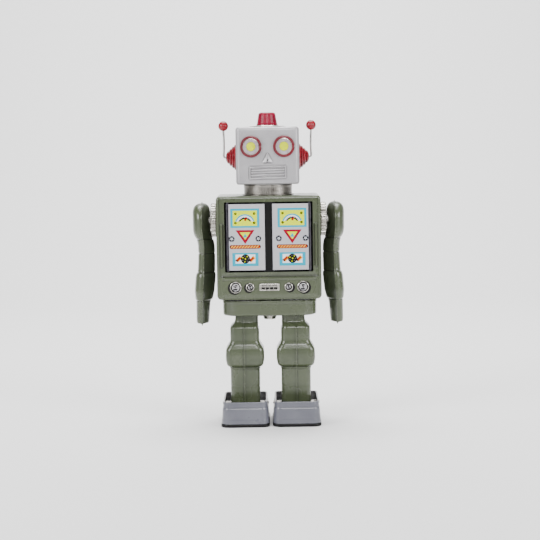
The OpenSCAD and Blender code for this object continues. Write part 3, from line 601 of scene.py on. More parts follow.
def makeHead():
    look = headLook
    low, high = span("head_shell")
    w, d, top, bottom = high[0] - low[0], 2 * high[1], high[2], low[2]
    wall, edge = look["wall"], look["topEdge"]
    under = look["lowEdge"]
    outer = [(0.0, z) for z in np.concatenate([np.linspace(bottom + under, bottom + 4, 6),
                                               np.linspace(bottom + 4.4, top - 17, 52),
                                               np.linspace(top - 16, top - edge, 14)])]
    profile = [(wall, top - wall)] + [(wall, z) for z in np.linspace(top - edge, bottom + under, 6)]
    profile += [(under + wall, bottom + wall), (under + 1.2, bottom + wall), (under + 1.2, bottom), (under + 0.3, bottom)]
    profile += arc(under, bottom + under, under, 255, 195, 4) + outer + arc(edge, top - edge, edge, 165, 90, 5)
    profile += [(edge + 3, top)]
    rings = wrap(profile, w, d, look["corner"], sideX=90, sideY=14)
    points, faces = capped(rings)
    front = points[:, 1] < -d / 2 + 0.02
    points[front, 1] -= faceRelief(points[front, 0], points[front, 2], top)
    makePiece("headTin", points, faces, "head", silver, ["head_shell"])
    # painted shade: a black plug stands for the small dark hole under the nose
    noseShadePlug = lathe([(0.0, 0.25), (0.7, 0.25), (0.7, -0.7), (0.0, -0.7)], "y", (0, -d / 2 - 0.1, top - 24.2), 20)
    makePiece("noseHoleShade", *capped(noseShadePlug, False, False), "head", rubber)


eyeLook = {"ringWidth": 2.1, "ringFront": 1.8, "notch": 0.5}


def makeEyes():
    low, high = span("eye_rings")
    r = (high[2] - low[2]) / 2
    face, z = high[1], (low[2] + high[2]) / 2
    inner, front = r - eyeLook["ringWidth"], eyeLook["ringFront"]
    ring = [(inner, 0)] + arc(inner + 0.5, 0.7 - front, 0.5, 180, 270, 3)
    ring += [(r - 0.5 + 0.5 * sin(a), 0.7 - front - 0.5 * cos(a)) for a in np.radians([10, 35, 60, 90])] + [(r, 0)]

    def notched(turn, radius):
        # the stamped ring is nicked towards +X, where its tongue is bent through
        return -eyeLook["notch"] * np.exp(-(((turn + np.pi) % (2 * np.pi) - np.pi) / 0.09) ** 2) * (radius > r - 0.8)

    for side, sign, stands in eachSide("eye_rings", "eye_discs"):
        x, rings, discs = sign * (high[0] - r), stands[:1], stands[1:]
        makePiece(side + "EyeRing", *turned(ring, "y", (x, face, z), 96, notched, True), "head", red, rings)
        # grey lens: almost flat inside a turned-up edge, with a fine step round the centre
        dish = [(inner + 0.02, 0), (inner + 0.02, -0.9), (inner - 0.25, -1.0), (inner - 0.5, -0.75), (4.6, -0.6),
                (4.2, -0.7), (3.6, -0.7), (3.4, -0.45), (0, -0.45)]
        makePiece(side + "EyeLens", *capped(lathe(dish, "y", (x, face, z), 96), True, False), "head", lensGrey, discs)
        # bright bezel that holds the lens
        bezel = [(inner + 0.05, -0.85), (inner + 0.02, -1.35), (inner - 0.3, -1.42), (inner - 0.5, -1.1), (inner - 0.45, -0.85)]
        makePiece(side + "EyeBezel", *turned(bezel, "y", (x, face, z), 96, closed=True), "head", plated)
        dome = [(3.3, -0.3), (3.3, -0.75), (3.1, -0.98), (2.4, -1.12), (1.2, -1.22), (0, -1.25)]
        makePiece(side + "EyeCentre", *capped(lathe(dome, "y", (x, face, z), 64), True, False), "head", eyeYellow)


def makeCap():
    low, high = span("lamp_cap")
    r, h = (high[0] - low[0]) / 2, high[2] - low[2]
    top, edge = r - 1.4, 1.9
    outer = [(r - 0.15, 0), (r, 0.3), (r - 0.1, 0.9), (r - 0.35, 1.2)]
    outer += [(r - 0.35 - (r - 0.35 - top) * t, 1.2 + (h - edge - 1.2) * t) for t in np.linspace(0.08, 1, 10)]
    outer += [(top - edge + edge * cos(a), h - edge + edge * sin(a)) for a in np.radians([20, 40, 60, 80, 90])]
    outer += [(1.0, h), (0, h)]
    inner = [(0, h - 0.9), (top - 2.4, h - 0.9), (top - 1.2, h - 2.0), (r - 1.2, 1.0), (r - 1.0, 0)]

    def flutes(turn, radius):
        # shallow upright flutes moulded in the side
        return 0.03 * np.cos(22 * turn) * (radius > 4.4)

    makePiece("redCap", *turned(outer + inner, "z", (0, 0, low[2]), 144, flutes, True), "head", redClear, ["lamp_cap"])
    low, high = span("lamp_seat")
    wide, rise = (high[0] - low[0]) / 2, high[2] - low[2]
    seat = [(0, 0.02), (wide - 0.1, 0.02), (wide, 0.2), (wide - 0.2, 0.45), (wide - 0.8, 0.5), (r + 2.2, 0.42),
            (r + 1.2, 0.5), (r + 0.8, rise - 0.3), (r + 0.5, rise), (r - 1.2, rise), (r - 1.6, rise - 0.3), (0, rise - 0.3)]
    makePiece("capSeat", *turned(seat, "z", (0, 0, low[2]), 96), "head", plated, ["lamp_seat"])


earLook = {"ribs": 4, "valley": 1.1}


def makeEars():
    low, high = span("ear_cones")
    r, z = (high[2] - low[2]) / 2, (low[2] + high[2]) / 2
    start, end = span("head_shell")[1][0], high[0]
    t = np.linspace(0, 1, 65)
    # radius falls evenly from head to tip, less a valley between each two ribs
    along = np.clip(t * 1.02, 0, 1)
    valleys = (1 - np.abs(np.sin(np.pi * (t * earLook["ribs"] + 0.08)))) ** 2.2
    cone = (r - 0.05) + (3.4 - r) * along ** 1.15 - earLook["valley"] * valleys
    profile = [(0, 0)] + list(zip(np.minimum(cone, r), t * (end - start))) + [(0, end - start)]
    for side, sign, stands in eachSide("ear_cones"):
        rings = lathe([(a, sign * b) for a, b in profile], "x", (sign * start, 0, z), 80)
        makePiece(side + "Ear", *capped(rings, False, False), "head", redSolid, stands, sharp=60)
    low, high = span("antenna_balls")
    ball = (high[2] - low[2]) / 2
    wireX, wireTop, wire = high[0] - ball, (low[2] + high[2]) / 2, 0.75
    a = np.linspace(0, np.pi, 25)
    # the ball's moulding seam is a low ridge round its middle
    shell = [((ball - 0.04) * sin(t) + (0.04 if abs(t - np.pi / 2) < 0.05 else 0), -(ball - 0.02) * cos(t)) for t in a]
    for side, sign, stands in eachSide("antenna_balls", "antenna_wires"):
        makePiece(side + "Ball", *turned(shell, "z", (sign * wireX, 0, wireTop), 48), "head", redSolid, stands[:1])
        # out of the ear's tip, round a bend of 1.3 mm, and up with a slight bow
        bend = 1.3
        path = [(x, z) for x in (end - 1.0, end - 0.3)]
        path += arc(wireX - bend, z + bend, bend, -90, 0, 6)
        path += [(wireX - 0.35 * sin(np.pi * t), z + bend + (wireTop - ball + 0.4 - z - bend) * t)
                 for t in np.linspace(0.05, 1, 16)]
        path = np.array([(sign * x, 0, h) for x, h in path])
        makePiece(side + "Antenna", *capped(tube(path, wire - 0.02)), "head", steel, stands[1:])


makeHead()
makeEyes()
makeCap()
makeEars()
print("head made")


torsoLook = {"corner": 3.0, "edge": 2.0, "wall": 0.5, "stepBack": 0.5, "apron": 0.4}
torsoLow = np.minimum(span("torso_front")[0], span("torso_back")[0])
torsoHigh = np.maximum(span("torso_front")[1], span("torso_back")[1])
torsoFace, torsoRear = -torsoHigh[1], torsoHigh[1]
torsoSeam = span("torso_back")[0][1]
torsoSize = (torsoHigh[0] - torsoLow[0], torsoHigh[2] - torsoLow[2])
torsoMid = (torsoLow[2] + torsoHigh[2]) / 2
recessLow, recessHigh = span("chest_recess")
chestSize = (recessHigh[0] - recessLow[0] - 1.2, recessHigh[2] - recessLow[2] - 1.2)
chestMid = (recessLow[2] + recessHigh[2]) / 2


def frontRelief(x, z):
    # the face above the sill is pressed back and the apron below it swells, with a bead between them
    # and a rib beside each door
    sill = chestMid - chestSize[1] / 2
    upper = ramp(z, sill - 4.2, sill - 3.5)
    bottom = torsoMid - torsoSize[1] / 2
    apron = torsoLook["apron"] * (1 - upper) * ramp(z, bottom + 1.8, bottom + 4) * (1 - ramp(np.abs(x), 34, 36.3))
    bead = 0.4 * bump(barDistance(x, z - (sill - 4.9), chestSize[0] / 2 + 1.6, 0.3), 0.5)
    ribs = bump(barDistance(np.abs(x) - (chestSize[0] / 2 + 2.4), z - (chestMid - 6), 0.45, 15.5), 0.5)
    # between sill and bead the sheet slopes back as it goes down, so it stays dark
    groove = 0.75 * upper * (1 - ramp(z, sill - 3.4, sill - 0.3)) * (1 - ramp(np.abs(x), 33.5, 35.5))
    ribs -= 0.6 * bump(barDistance(np.abs(x) - (chestSize[0] / 2 + 1.1), z - (chestMid - 6), 0.2, 15.5), 0.4)
    return apron - torsoLook["stepBack"] * upper - groove + bead * (1 - upper) + ribs


def xzRings(rows):
    # rows of (ring in x and z, y) to points
    return np.array([np.column_stack([ring[:, 0], np.full(len(ring), y), ring[:, 1]]) for ring, y in rows])


def torsoRing(inset, **counts):
    w, h = torsoSize
    ring = roundRect(w - 2 * inset, h - 2 * inset, torsoLook["corner"] - inset * 0.8, **counts)
    return ring + np.array([0, torsoMid])


def makeTorsoFront():
    look = torsoLook
    edge, wall = look["edge"], look["wall"]
    counts = {"sideX": 130, "sideY": 120, "corner": 6}
    opening = roundRect(*chestSize, 0.8, **counts) + np.array([0, chestMid])
    rows = [(torsoRing(0, **counts), y) for y in np.linspace(torsoSeam, torsoFace + edge, 8)]
    rows += [(torsoRing(inset, **counts), y) for inset, y in arc(edge, torsoFace + edge, edge, 198, 270, 4)]
    side = len(rows)
    flat = torsoRing(edge, **counts)
    rows += [(flat + (opening - flat) * t, torsoFace) for t in np.linspace(0.03, 0.985, 30)]
    face = len(rows)
    rows += [(opening, torsoFace + 0.25), (opening, torsoFace + 0.5), (opening, torsoFace + 0.9)]
    rows += [(flat + (opening - flat) * 0.9, torsoFace + 1.6)]
    rows += [(torsoRing(edge, **counts), torsoFace + 1.7), (torsoRing(wall, **counts), torsoFace + edge + 0.8),
             (torsoRing(wall, **counts), torsoSeam)]
    rings = xzRings(rows)
    shown = rings[side:face]
    shown[..., 1] -= frontRelief(shown[..., 0], shown[..., 2])
    rings[face:face + 3, :, 1] += look["stepBack"] * (rings[face:face + 3, :, 2] > chestMid - chestSize[1] / 2)
    makePiece("torsoFrontTin", *looped(rings), "torso", green, ["torso_front"], sharp=50)


def makeTorsoBack():
    # sides, rounded rear edge, and a raised panel that ends at the hole for the key
    look = torsoLook
    edge, wall = look["edge"], look["wall"]
    counts = {"sideX": 60, "sideY": 60, "corner": 6}
    key = middle("great_wheel")
    hole = torsoRing(edge, **counts) - np.array([0, torsoMid])
    hole = hole / np.linalg.norm(hole, axis=1)[:, None] * 3.5 + np.array([key[0], key[2]])
    rows = [(torsoRing(0, **counts), y) for y in np.linspace(torsoSeam, torsoRear - edge, 6)]
    rows += [(torsoRing(inset, **counts), y) for inset, y in arc(edge, torsoRear - edge, edge, 162, 90, 4)]
    rows = [(ring, y - 0.4) if y > torsoRear - 0.3 else (ring, y) for ring, y in rows]
    rows += [(torsoRing(inset, **counts), torsoRear - 0.4) for inset in (3.0, 4.2, 5.0)]
    rows += [(torsoRing(inset, **counts), torsoRear - 0.4 + 0.35 * t) for inset, t in ((5.4, 0.2), (5.9, 0.8), (6.4, 1.0))]
    panel = torsoRing(6.4, **counts)
    rows += [(panel + (hole - panel) * t, torsoRear - 0.05) for t in np.linspace(0.06, 0.94, 26)]
    rows += [(panel + (hole - panel) * 0.975, torsoRear - 0.15), (hole, torsoRear - 0.4), (hole, torsoRear - 0.9)]
    rows += [(panel + (hole - panel) * 0.9, torsoRear - 0.6), (torsoRing(edge, **counts), torsoRear - 1.0),
             (torsoRing(wall, **counts), torsoRear - edge - 0.4), (torsoRing(wall, **counts), torsoSeam)]
    rings = xzRings(rows)
    tin = makePiece("torsoBackTin", *looped(rings), "torso", green, ["torso_back"], sharp=50)
    low, high = span("stop_lever")
    slotMid = (low[0] + high[0]) / 2
    cutAway(tin, [((slotMid - 4.2, torsoRear - 2, high[2] - 3.4), (slotMid + 4.2, torsoRear + 1, high[2] + 1.2))])


makeTorsoFront()
makeTorsoBack()
print("torso made")


doorLook = {"sheet": 0.5, "bow": 0.25, "artShift": 0.7, "hem": 0.27}


def makeDoors():
    look = doorLook
    low, high = span("left_door")
    pinLow, pinHigh = span("door_hinge_pins")
    pin = (pinHigh[0] - 0.8, (pinLow[1] + pinHigh[1]) / 2)
    curl = high[0] - pin[0] - look["sheet"] / 2
    half = look["sheet"] / 2
    edge, face = low[0], low[1] + half
    hem = look["hem"]
    # mid-sheet line: folded free edge, bowed panel, curl round the pin
    path = [(edge + 1.5, face + 2 * hem), (edge + 0.9, face + 2 * hem)]
    path += arc(edge + hem, face + hem, hem, 90, 270, 8)
    t = np.linspace(0.04, 1, 26)
    path += [(edge + hem + (pin[0] - edge - hem) * k, face - look["bow"] * sin(pi * k)) for k in t]
    path += arc(pin[0], pin[1], curl, -80, 165, 20)
    path = np.array(path)
    along = np.gradient(path, axis=0)
    along /= np.linalg.norm(along, axis=1)[:, None]
    out = np.stack([along[:, 1], -along[:, 0]], -1) * half
    outline = np.concatenate([path + out, (path - out)[::-1]])
    heights = np.concatenate([[low[2], low[2] + 0.15], np.linspace(low[2] + 0.5, high[2] - 0.5, 30),
                              [high[2] - 0.15, high[2]]])
    shrink = np.where((heights == low[2]) | (heights == high[2]), 0.12, 0.0)
    centre = (edge + pin[0]) / 2 + look["artShift"]
    for side, sign in sides.items():
        rings = np.array([np.column_stack([sign * outline[:, 0], outline[:, 1] + s, np.full(len(outline), z)])
                          for z, s in zip(heights, shrink)])
        points, faces = capped(rings)
        uv = np.column_stack([points[:, 0] - sign * centre, points[:, 2] - (low[2] + high[2]) / 2]) / printScale + 0.5
        door = makePiece(side + "DoorTin", points, faces, side + "_door", printed, [side + "_door"], uv=uv)
        # plated at the back, dark at the hinge
        normal, place = facing(door.data)
        which = np.where(np.abs(place[:, 0]) > pin[0] - 1.3, 2, np.where(normal[:, 1] > 0.3, 1, 0))
        finishFaces(door, which, plated, blued)
    # wire pins, each with its two ends peened over the recess
    r, bottom, top = 0.8, pinLow[2], pinHigh[2]
    wire = [(0, bottom), (r + 0.25, bottom), (r + 0.3, bottom + 0.25), (r, bottom + 0.6), (r, top - 0.6),
            (r + 0.3, top - 0.25), (r + 0.25, top), (0, top)]
    wires = [turned(wire, "z", (sign * pin[0], pin[1], 0), 32) for sign in (1, -1)]
    makePiece("hingeWires", *together(wires), "torso", blued, ["door_hinge_pins"])


def makePost():
    # the folded strip between the doors: a flange with turned-back edges on a web
    low, high = span("centre_post")
    w, y = high[0], low[1]
    path = [(-w + 0.6, y + 1.2), (-w + 0.25, y + 1.1)] + arc(-w + 0.5, y + 0.6, 0.5, 150, 270, 6)
    path += [(x, y + 0.1) for x in np.linspace(-w + 1, w - 1, 14)]
    path += arc(w - 0.5, y + 0.6, 0.5, -90, 30, 6) + [(w - 0.25, y + 1.1), (w - 0.6, y + 1.2)]
    path += [(w - 0.9, y + 0.75), (0.5, y + 0.65), (0.4, high[1]), (-0.4, high[1]), (-0.5, y + 0.65), (-w + 0.9, y + 0.75)]
    rings = np.array([np.column_stack([np.array(path), np.full(len(path), z)]) for z in np.linspace(low[2], high[2], 20)])
    makePiece("postStrip", *capped(rings), "torso", black, ["centre_post"])


makeDoors()
makePost()
print("doors made")


dialLook = {"rim": 0.75, "slots": 4, "slotWide": 2.6, "slotHigh": 1.5, "ribs": 28}


def makeDials():
    low, high = span("dash_dials")
    z, face, front = (low[2] + high[2]) / 2, high[1], high[1] - low[1]
    big, bigX = (high[2] - low[2]) / 2, high[0] - (high[2] - low[2]) / 2
    small, smallX = big - 1.2, bigX - 10.6
    face -= torsoLook["apron"]
    rims, plates, hands, groovesAndShadows = [], [], [], []
    marks = {big: [(-0.3, -1.5, 3.2, 1.1), (0.3, 1.4, 1.9, 1.0)], small: [(-0.2, 0.9, 1.2, 1.0), (0.4, -0.9, 1.4, 0.7)]}
    for x, r, lean in [(-bigX, big, 2.6), (-smallX, small, 0.9), (smallX, small, 2.2), (bigX, big, 2.0)]:
        rim = dialLook["rim"]
        cup = [(0, 0), (r, 0), (r, -0.5), (r - 0.1, -0.8), (r - 0.35, -front + 0.1), (r - 0.55, -front),
               (r - rim, -front + 0.15), (r - rim - 0.15, -0.55), (r - rim - 0.5, -0.35), (0, -0.35)]
        rims.append(turned(cup, "y", (x, face, z), 56))
        plate = [(r - rim - 0.9, -0.3), (r - rim - 0.9, -0.68), (r - rim - 1.1, -0.78), (r * 0.45, -0.82), (0, -0.84)]
        plates.append(turned(plate, "y", (x, face, z), 56))
        # black paint and painted shade in the groove between rim and plate
        grooveShadeRing = [(r - rim - 0.05, -0.5), (r - rim - 0.1, -0.62), (r - rim - 0.9, -0.62), (r - rim - 0.95, -0.5)]
        groovesAndShadows.append(turned(grooveShadeRing, "y", (x, face, z), 56, closed=True))
        # a tapering pointer that leans from the middle
        u = np.linspace(0, 1, 9)
        width = (0.55 - 0.4 * u)[:, None] * np.array([[1, 0.6, -0.6, -1]])
        lift = np.array([[0.75, 1.05, 1.05, 0.75]]) + 0 * u[:, None]
        length = (u * (r - rim - 0.3) - 0.6)[:, None] + 0 * width
        rings = np.stack([x + length * cos(lean) - width * sin(lean), face - lift,
                          z + length * sin(lean) + width * cos(lean)], -1)
        hands.append(capped(rings))
        for dx, dz, wide, tall in marks[r]:
            hands.append(mark(x + dx, face, z + dz, wide, tall, 0.3, [(0, 0.5), (0, 0.95), (-0.1, 1.0)]))
        # painted shadow: a black disc behind each dial, set a little wide of it outwards and down, stands for the
        # shadow the dial casts on the apron
        hole = [(0, 0.3), (r + 0.4, 0.3), (r + 0.4, -0.25), (r + 0.2, -0.3), (0, -0.3)]
        groovesAndShadows.append(turned(hole, "y", (x + copysign(0.9, x), face, z - 0.5), 56))
    makePiece("dialRims", *together(rims), "torso", plated, ["dash_dials"])
    makePiece("dialPlates", *together(plates), "torso", silver)
    makePiece("dialHands", *together(hands), "torso", rubber)
    makePiece("dialGroovesAndShadows", *together(groovesAndShadows), "torso", rubber)


def makeMeter():
    low, high = span("meter_plate")
    w, h, deep = high[0] - low[0], high[2] - low[2], high[1] - low[1]
    z = (low[2] + high[2]) / 2
    high[1] -= torsoLook["apron"]
    flat = roundRect(w, h, 0.7, sideX=60, sideY=16)
    rings = wrapOutline(flat, [(0, 0), (0, deep - 0.35), (-0.1, deep - 0.12), (-0.35, deep - 0.02), (-0.6, deep - 0.04)])
    rings = upright(rings, 0, high[1], z)
    inner = [rings[-1] + (np.array([0, rings[-1][0, 1], z]) - rings[-1]) * np.array([t, 0, t])
             for t in np.linspace(0.1, 0.97, 12)]
    rings = np.concatenate([rings, np.array(inner)])
    # a recessed panel below the middle
    x, up = rings[5:, :, 0], rings[5:, :, 2] - z
    rings[5:, :, 1] += 0.25 * bump(barDistance(x, up + 0.7, w / 2 - 1.4, 0.95), 0.3)
    makePiece("meterTin", *capped(rings), "torso", plated, ["meter_plate"])
    # four slots under a row of upright ticks
    count, step = dialLook["slots"], (w - 3) / dialLook["slots"]
    slots = [mark((k - (count - 1) / 2) * step, high[1], z - 0.8, dialLook["slotWide"], dialLook["slotHigh"], 0.25,
                  [(0, 0.3), (0, deep - 0.05), (-0.1, deep), (-0.25, deep)]) for k in range(count)]
    slots += [mark((k - 5) * (w - 4) / 11, high[1], z + 1.3, 0.45, 0.9 if k % 5 else 1.2, 0.1,
                   [(0, 0.3), (0, deep), (-0.1, deep + 0.02)]) for k in range(11)]
    makePiece("meterSlots", *together(slots), "torso", rubber)


def makeCollar():
    low, high = span("neck_collar")
    r, top, foot = high[0] - 1.2, high[2], low[2]
    profile = [(r + 0.9, foot), (r + 1.15, foot + 0.2), (r + 1.15, foot + 0.45), (r + 0.8, foot + 0.62), (r + 0.15, foot + 0.75)]
    profile += [(r - 0.1, foot + 0.9 + (top - foot - 2.6) * t) for t in np.linspace(0, 1, 9)]
    profile += [(r - 0.05, top - 1.4)] + arc(r - 0.5, top - 0.6, 0.58, -20, 200, 8)
    profile += [(r - 1.0, top - 1.5), (r - 1.0, foot)]
    makePiece("neckRing", *turned(profile, "z", (0, 0, 0), 120, closed=True), "torso", neckShade, ["neck_collar"])
    low, high = span("head_base")
    w, d = high[0] - low[0], high[1] - low[1]
    rings = wrap([(1.2, high[2] - 0.75), (0.4, high[2] - 0.8), (0.1, high[2] - 0.6), (0.1, high[2]), (1.2, high[2])],
                 w, d, 2.9, sideX=30, sideY=24)
    inner = r - 0.75
    spigot = [(inner - 1.2, low[2]), (inner - 0.3, low[2]), (inner - 0.05, low[2] + 0.3), (inner - 0.05, high[2] - 0.8),
              (inner - 1.2, high[2] - 0.8)]
    makePiece("headFloor", *together([capped(rings), turned(spigot, "z", (0, 0, 0), 96, closed=True)]), "head", steel,
              ["head_base"])


def makeShoulders():
    low, high = span("shoulder_discs")
    r, z = (high[2] - low[2]) / 2, (low[2] + high[2]) / 2
    start, end = torsoHigh[0], high[0]

    def milled(turn, radius):
        # square-topped ribs: the sign of a cosine, softened
        return 0.42 * np.tanh(3 * np.cos(dialLook["ribs"] * turn)) * (radius > r - 0.8)

    t = end - start
    disc = [(3.0, 0), (r - 1.4, 0), (r - 0.9, 0.15), (r - 0.55, 0.5), (r - 0.42, 0.8)]
    disc += [(r - 0.42, k) for k in np.linspace(1.1, t - 1.1, 6)]
    disc += [(r - 0.42, t - 0.8), (r - 0.55, t - 0.5), (r - 0.9, t - 0.15), (r - 1.4, t), (6.5, t), (6.0, t - 0.3),
             (3.0, t - 0.3)]
    shapes, studs = [], []
    head = span("shoulder_studs")[1][0]
    for sign in (1, -1):
        shapes.append(turned([(a, sign * b) for a, b in disc], "x", (sign * start, 0, z), 28 * 12, milled, closed=True))
        bolt = [(0, start - 1.5), (3.6, start - 1.5), (4.4, start - 1.2), (4.4, start - 0.7), (3.0, start - 0.6),
                (3.0, head - 1.0), (4.4, head - 0.95), (4.3, head - 0.4), (3.4, head - 0.05), (0, head)]
        studs.append(turned([(a, sign * b) for a, b in bolt], "x", (0, 0, z), 48))
    makePiece("milledDiscs", *together(shapes), "torso", plated, ["shoulder_discs"])
    makePiece("shoulderRivets", *together(studs), "torso", steel, ["shoulder_studs"])


makeDials()
makeMeter()
makeCollar()
makeShoulders()
print("dials, collar and shoulders made")


waistLook = {"corner": 13.0, "wall": 0.5, "fold": 1.3, "seamX": 0.79}


def makeWaist():
    look = waistLook
    low, high = span("waist_pan")
    w, d, bottom, top = high[0] - low[0], high[1] - low[1], low[2], high[2]
    wall, fold = look["wall"], look["fold"]
    side = [(0.25, z) for z in np.linspace(bottom + fold, top - 2.6, 12)]
    profile = [(fold + 4, bottom), (fold + 0.25, bottom)]
    profile += arc(0.25 + fold, bottom + fold, fold, 255, 195, 4)
    profile += side + [(0.2, top - 2.2), (0.05, top - 1.9), (0.0, top - 1.5), (0.0, top - 0.6), (0.1, top - 0.2),
                       (0.35, top), (0.7, top - 0.1), (0.25 + wall, top - 0.5)]
    profile += [(0.25 + wall, z) for z in np.linspace(top - 2, bottom + 2, 6)]
    profile += [(fold + 0.8, bottom + wall), (fold + 4, bottom + wall)]
    rings = wrap(profile, w, d, look["corner"], sideX=90, sideY=8, corner=14)
    # the ends of the wrapped strip meet in an upright seam at the front, where one laps 0.22 mm over the other
    seam = look["seamX"] * w / 2
    x, y = rings[..., 0], rings[..., 1]
    lap = bump(np.abs(x - seam + 0.9) - 0.7, 0.25) * (y < 0) * (rings[..., 2] > bottom + fold)
    rings[..., 1] -= 0.22 * lap
    pan = makePiece("waistTin", *capped(rings), "waist", green, ["waist_pan"])
    cuts = []
    for sign in (1, -1):
        middleX = sign * middle("left_foot_shell")[0]
        cuts.append(((middleX - 7.5, -9.5, bottom - 1), (middleX + 7.5, 9.5, bottom + 1.2)))
    cutAway(pan, cuts)
    low, high = span("waist_top")
    hole = 6.15
    rings = wrap([(0.15, low[2]), (0, low[2] + 0.15), (0, high[2] - 0.1), (0.3, high[2])], high[0] - low[0],
                 high[1] - low[1], look["corner"] - 0.6, sideX=40, sideY=8, corner=14)
    circle = rings[3] * [1, 1, 0]
    circle = circle / np.linalg.norm(circle, axis=1)[:, None] * hole + [0, 0, high[2]]
    steps = [rings[3] + (circle - rings[3]) * t for t in np.linspace(0.15, 1, 8)]
    rings = np.array([*rings, *steps, circle * [1, 1, 0] + [0, 0, low[2]]])
    makePiece("waistLid", *looped(rings), "waist", green, ["waist_top"])
    low, high = span("pivot_cap")
    r, h = high[0], high[2] - low[2]
    cap = [(0, 0.35), (1.3, 0.3), (1.6, 0.0), (r - 1.9, 0.0), (r - 1.2, 0.3), (r - 0.5, h * 0.5), (r - 0.1, h * 0.62),
           (r, h * 0.75), (r, h - 0.15), (0, h)]
    makePiece("pivotBoss", *turned(cap, "z", (0, 0, low[2]), 72), "waist", plated, ["pivot_cap"])


makeWaist()
print("waist made")


# half width and half depth at each height, creases pressed across, and the bead where the halves meet
legLook = {"corner": 4.2, "wall": 0.6, "beadWide": 1.1, "beadOut": 0.95, "soft": 2.0, "hipWide": 10.2,
           "creases": {58.6: 0.12, 41.2: 0.4, 26.6: 0.16},
           "heights": (9.5, 24.0, 40.0, 42.8, 47.0, 50.5, 54.5, 58.4, 60.6, 66.0, 71.2, 74.6, 82.0),
           "width": (10.9, 11.0, 11.0, 13.6, 14.4, 14.4, 14.2, 11.9, 10.8, 10.9, 10.8, 7.4, 6.6),
           "depth": (9.9, 10.0, 10.0, 12.0, 12.4, 12.5, 12.3, 11.4, 11.0, 11.0, 10.8, 8.0, 7.9)}


def makeLegs():
    look = legLook
    low, high = span("left_leg_outer")
    legX = middle("left_foot_shell")[0]
    z = np.unique(np.concatenate([np.linspace(low[2], high[2], 90), np.linspace(39, 61, 60), np.linspace(70, 76, 24),
                                  [79.28, 79.32]]))
    crease = sum(depth * bump(np.abs(z - c) - 0.15, 0.7) for c, depth in look["creases"].items())
    wide = blurred(z, look["heights"], look["width"], look["soft"]) - crease
    deep = blurred(z, look["heights"], look["depth"], look["soft"]) - crease
    # the inner half keeps its width up to the waist pan, 1.3 mm short of it
    panZ = span("waist_pan")[0][2] - 1.3
    innerWide = np.where(z > 70, np.where(z < panZ, look["hipWide"], 6.6), wide)
    turn = np.radians(np.linspace(-90, 0, 10))
    bead = np.linspace(0, look["beadWide"] + 0.4, 13)

    def section(halfW, halfD, r, proud):
        # from the seam at the front round to the seam at the back
        r = np.minimum(r, halfW - look["beadWide"] - 0.6)
        front = np.concatenate([bead, np.linspace(0.15, 1, 5) * (halfW - r - bead[-1]) + bead[-1]])
        lift = proud * np.clip(1 - (front / look["beadWide"]) ** 5, 0, 1) ** 0.5 if proud else 0 * front
        quarter = np.stack([halfW - r + r * np.cos(turn), -halfD + r + r * np.sin(turn)], -1)
        sideY = np.linspace(-halfD + r, halfD - r, 9)[1:-1]
        half = np.concatenate([np.stack([front, -halfD - lift], -1), quarter[1:]])
        return np.concatenate([half, np.stack([halfW + 0 * sideY, sideY], -1), half[::-1] * [1, -1]])

    for side, sign in sides.items():
        for part, way in (("outer", 1), ("inner", -1)):
            rows = []
            for k in range(len(z)):
                # the bead starts above the shoe and ends below the hip
                proud = look["beadOut"] * ramp(z[k], 12, 14) * (1 - 0.6 * ramp(z[k], 71, 73.5)) * (way > 0)
                across = wide[k] if way > 0 else innerWide[k]
                shell = section(across, deep[k], look["corner"], proud)
                core = section(across - look["wall"], deep[k] - look["wall"], look["corner"] - look["wall"], 0)
                flat = np.concatenate([shell, core[::-1]])
                rows.append(np.column_stack([sign * (legX + way * flat[:, 0]), flat[:, 1], np.full(len(flat), z[k])]))
            makePiece(side + "Leg" + part.title(), *capped(np.array(rows)), side + "_leg", green, [side + "_leg_" + part])


makeLegs()
print("legs made")


footLook = {"corner": 6.0, "wall": 0.6, "taper": 1.0, "rollRadius": 0.55, "soleCorner": 6.2}


